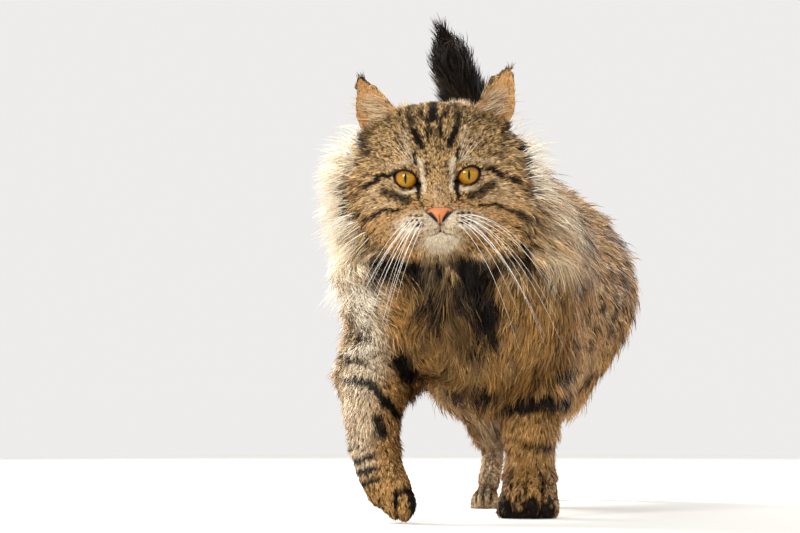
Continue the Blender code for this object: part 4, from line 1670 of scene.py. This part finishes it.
def lid_line(side, centre):
    """The edge of the lids, round from the inner corner, and its thickness."""
    line, sizes = [], []
    for i in range(LID_STEPS + 1):
        a = math.tau * i / LID_STEPS
        u = -LID_HALF_WIDTH * math.cos(a)
        h = LID_HALF_HEIGHT * (LID_UPPER if math.sin(a) > 0 else LID_LOWER)
        v = h * (1 - min(abs(u) / LID_HALF_WIDTH, 1) ** 2) ** (1 / LID_CURVE)
        v = math.copysign(v, math.sin(a))
        r = math.hypot(u, v)
        w = math.sqrt(max((EYE_RADIUS + LID_RIM_OUT) ** 2 - r * r, 1.0))
        line.append(from_head(np.array([u, v, w]) @ lid_frame(side) + to_head(centre)))
        sizes.append(0.85 if v > 0 else 0.7)
    return line, sizes


rim_material, _, rim_shader = new_material("eye_rims", 0.5, Specular_IOR_Level=0.12)
rim_shader.inputs["Base Color"].default_value = (0.006, 0.005, 0.0045, 1.0)
for name, centre in eye_centres.items():
    side = EYE_SIDES[name]
    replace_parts(eyeball("eyeball_" + name[4:], centre, side), name)
    line, sizes = lid_line(side, centre)
    tube("lid_rim_" + name[4:], [line], [sizes], rim_material)


# ---------------------------------------------------------- nose and whiskers

def nostril(x, z):
    """Near 1 in the comma of each nostril."""
    line = nostril_line(x)
    return hill(z, line - 0.6, 1.3) * ease(1.2, 2.4, np.abs(x)) * ease(8.2, 6.2, np.abs(x))


def nostril_line(x):
    """The height of the upper edge of the nostril."""
    return -35.2 + 6.6 * np.clip((np.abs(x) - 1.6) / 5.0, 0.0, 1.0) ** 0.9


NOSE_MIDDLE = -31.1
NOSE_HALF_HEIGHT = 6.1
# The leather's front by height, in the head's frame.
NOSE_PROFILE = ((-37, -34, -31, -28, -25.5, -23.6), (-29.6, -31.2, -31.6, -31.2, -29.6, -26.0))
NOSE_BULGE = 2.4
NOSE_BACK = -3.0
NOSTRIL_DEPTH = 2.0
WING_RISE = 0.5
NOSE_CLEFT_DEPTH = 0.7


def nose_piece():
    """The nose leather: a ball drawn out to the leather's outline, with nostrils and a cleft."""
    bm = bmesh.new()
    bmesh.ops.create_icosphere(bm, subdivisions=5, radius=1.0)
    ball = np.array([v.co for v in bm.verts])
    across, forward, up = ball[:, 0], -ball[:, 1], ball[:, 2]
    z = NOSE_MIDDLE + NOSE_HALF_HEIGHT * up
    half = np.interp(z, NOSE_ROWS, NOSE_HALVES)
    ring = np.maximum(np.sqrt(np.maximum(1 - up * up, 0)), 1e-3)
    closing = (1 - up ** 8) ** 0.5
    x = half * np.clip(across / ring, -1, 1) * closing
    front = np.clip(forward / ring, -1, 1)
    shown = front > 0
    bulge = np.where(shown, NOSE_BULGE * np.abs(front) ** 0.8, NOSE_BACK * np.abs(front))
    y = np.interp(z, *NOSE_PROFILE) - bulge * closing
    y = y + 0.035 * x * x * shown
    hole = nostril(x, z) * shown
    wing = hill(np.abs(x), 7.6, 2.2) * hill(z, -30.8, 1.5) * shown
    cleft = hill(x, 0.0, 0.55) * ease(-29.0, -32.0, z) * shown
    y = y + NOSTRIL_DEPTH * hole
    y = y - WING_RISE * wing
    y = y + NOSE_CLEFT_DEPTH * cleft
    places = from_head(np.stack([x, y, z], axis=1)) * MM
    for v, place in zip(bm.verts, places):
        v.co = place
    bmesh.ops.recalc_face_normals(bm, faces=bm.faces[:])
    # The leather darkens toward its sides; the nostrils, the leather under the wings and the cleft get
    # painted shade.
    edge = ease(0.80, 0.98, np.abs(x) / np.maximum(half, 1)) * 0.8
    under = ease(0.5, -0.3, z - nostril_line(x)) * ease(1.1, 2.0, np.abs(x))
    dark = np.clip(np.maximum.reduce([hole * 1.3, cleft * 0.7, edge, under]), 0, 1)
    piece = to_mesh(bm, "nose_pad", nose_material())
    write_attribute(piece.data, "nose_marks", dark, ease(-25.6, -24.2, z))
    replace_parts(piece, "nose")


def nose_material():
    """Brick-red, pebbled leather, brown at the top and darker toward its sides, with painted shade black
    in the nostrils, under the wings and in the cleft.
    """
    material, tree, shader = new_material("nose_skin", 0.42, Specular_IOR_Level=0.4)
    dark, top, _ = attribute(tree, "nose_marks")
    pebbles = tree.nodes.new("ShaderNodeTexVoronoi")
    pebbles.inputs["Scale"].default_value = 1500.0
    tree.links.new(object_place(tree), pebbles.inputs["Vector"])
    pebble = pebbles.outputs["Distance"]
    tone = ramp(tree, pebble, ((0.0, (0.64, 0.23, 0.075)), (0.8, (0.48, 0.155, 0.05))))
    toned = mixed(tree, top, tone, (0.30, 0.10, 0.045, 1.0))
    final = mixed(tree, dark, toned, (0.010, 0.006, 0.006, 1.0))
    tree.links.new(final, shader.inputs["Base Color"])
    add_bump(tree, shader, pebble, 0.35, 0.0003, invert=True)
    return material


nose_piece()


def face_surface():
    """A way to find the skin behind a place across and up the face."""
    tree = surface_tree(skin_points, triangles)

    def at(x, z):
        start = from_head((x, -60.0, z))
        hit = tree.ray_cast(Vector(start), Vector(HEAD_AXES[1]))[0]
        return np.array(hit if hit is not None else from_head((x, -20.0, z)))
    return at


# Height of each row on the whisker pad, and how far its whiskers rise.
WHISKER_ROWS = ((-30.8, 0.20), (-34.2, 0.0), (-37.6, -0.25))
# Each side's whiskers: how far out and down they set off, and how much they bend down.
WHISKER_SIDES = ((-1, 0.58, 0.66, (0.25, 0.55)), (1, 0.85, 0.34, (0.55, 1.0)))
WHISKER_RADIUS = 0.19
BROW_HAIR_RADIUS = 0.13


def whisker_lines():
    at = face_surface()
    lines, radii = [], []
    for side, out, fall, droop in WHISKER_SIDES:
        for row, (z, rise) in enumerate(WHISKER_ROWS):
            for column in range(4):
                x = side * (12.5 + 3.4 * column + row * 0.4)
                size = rng.uniform(48, 76) + 5 * column - 3 * row
                way = unit(np.array([side * (out + 0.05 * column), -0.42 + 0.10 * column,
                                     rise - fall - 0.28 * rng.random()]))
                drop = rng.uniform(*droop)
                add_whisker(lines, radii, at(x, z), way, size, drop, WHISKER_RADIUS)
        for column in range(4):
            way = unit(np.array([side * (0.35 + 0.16 * column), -0.55, 0.75]))
            add_whisker(lines, radii, at(side * (17 + 2.2 * column), 13.5 + column * 0.6), way,
                        rng.uniform(20, 30), -0.12, BROW_HAIR_RADIUS)
    return lines, radii


WHISKER_STEPS = 10


def add_whisker(lines, radii, root, way, size, drop, thick):
    """A tapered whisker that bends back and down as it goes."""
    line, sizes = [], []
    for k in range(WHISKER_STEPS + 1):
        t = k / WHISKER_STEPS
        local = way * t + np.array([0.0, 0.35, -drop]) * t ** 2.2
        line.append(root + (local * size) @ HEAD_AXES)
        sizes.append(thick * (1 - 0.85 * t))
    lines.append(line)
    radii.append(sizes)


whisker_material, _, whisker_shader = new_material("whisker", 0.35)
whisker_shader.inputs["Base Color"].default_value = (0.92, 0.90, 0.86, 1.0)
lines, radii = whisker_lines()
tube("whiskers", lines, radii, whisker_material)


# ---------------------------------------------------------------- floor, light

def area_light(name, place, target, size, power, colour):
    """A round soft light, turned toward its target."""
    light = bpy.data.lights.new(name, "AREA")
    light.shape = "DISK"
    light.size = size
    light.energy = power
    light.color = colour
    lamp = bpy.data.objects.new(name, light)
    bpy.context.scene.collection.objects.link(lamp)
    lamp.location = place
    lamp.rotation_euler = (Vector(target) - Vector(place)).to_track_quat("-Z", "Y").to_euler()


FLOOR_RADIUS = 2.3
bm = bmesh.new()
bmesh.ops.create_circle(bm, cap_ends=True, segments=96, radius=FLOOR_RADIUS)
floor_mesh = bpy.data.meshes.new("floor")
bm.to_mesh(floor_mesh)
bm.free()
floor = link("floor", floor_mesh)
floor_material, _, floor_shader = new_material("floor_paint", 0.8, Specular_IOR_Level=0.2)
floor_shader.inputs["Base Color"].default_value = (0.52, 0.515, 0.50, 1.0)
floor_mesh.materials.append(floor_material)

world = bpy.data.worlds.new("studio")
bpy.context.scene.world = world
world.use_nodes = True
sky = world.node_tree.nodes["Background"]
sky.inputs["Color"].default_value = (1.0, 0.99, 0.975, 1.0)
sky.inputs["Strength"].default_value = 0.85

# One light in front, and one behind each shoulder for the edge of the coat, left
# and right as the camera sees them: place, aim and size in metres, power in
# watts, and colour.
RIM_COLOUR = (1.0, 0.98, 0.95)
area_light("key", (-0.8, -2.2, 1.5), (0.0, -0.15, 0.2), 0.6, 45.0, (1.0, 0.97, 0.92))
area_light("rim_left", (-1.4, 0.9, 1.2), (0.0, -0.1, 0.25), 0.8, 115.0, RIM_COLOUR)
area_light("rim_right", (1.2, 1.3, 1.1), (0.0, -0.1, 0.25), 0.8, 62.0, RIM_COLOUR)

# A long lens low in front, a little to the cat's left, looking slightly up at it.
CAMERA_PLACE = (0.3198, -2.5282, 0.0914)
CAMERA_TILT = 92.55
CAMERA_TURN = 9.0
camera = bpy.data.cameras.new("camera")
camera.lens = 135.0
camera.sensor_width = 36.0
camera.clip_end = 50.0
viewer = bpy.data.objects.new("camera", camera)
bpy.context.scene.collection.objects.link(viewer)
viewer.location = CAMERA_PLACE
viewer.rotation_euler = (math.radians(CAMERA_TILT), 0.0, math.radians(CAMERA_TURN))
bpy.context.scene.camera = viewer
bpy.context.scene.view_settings.view_transform = "Standard"

bpy.context.view_layer.update()
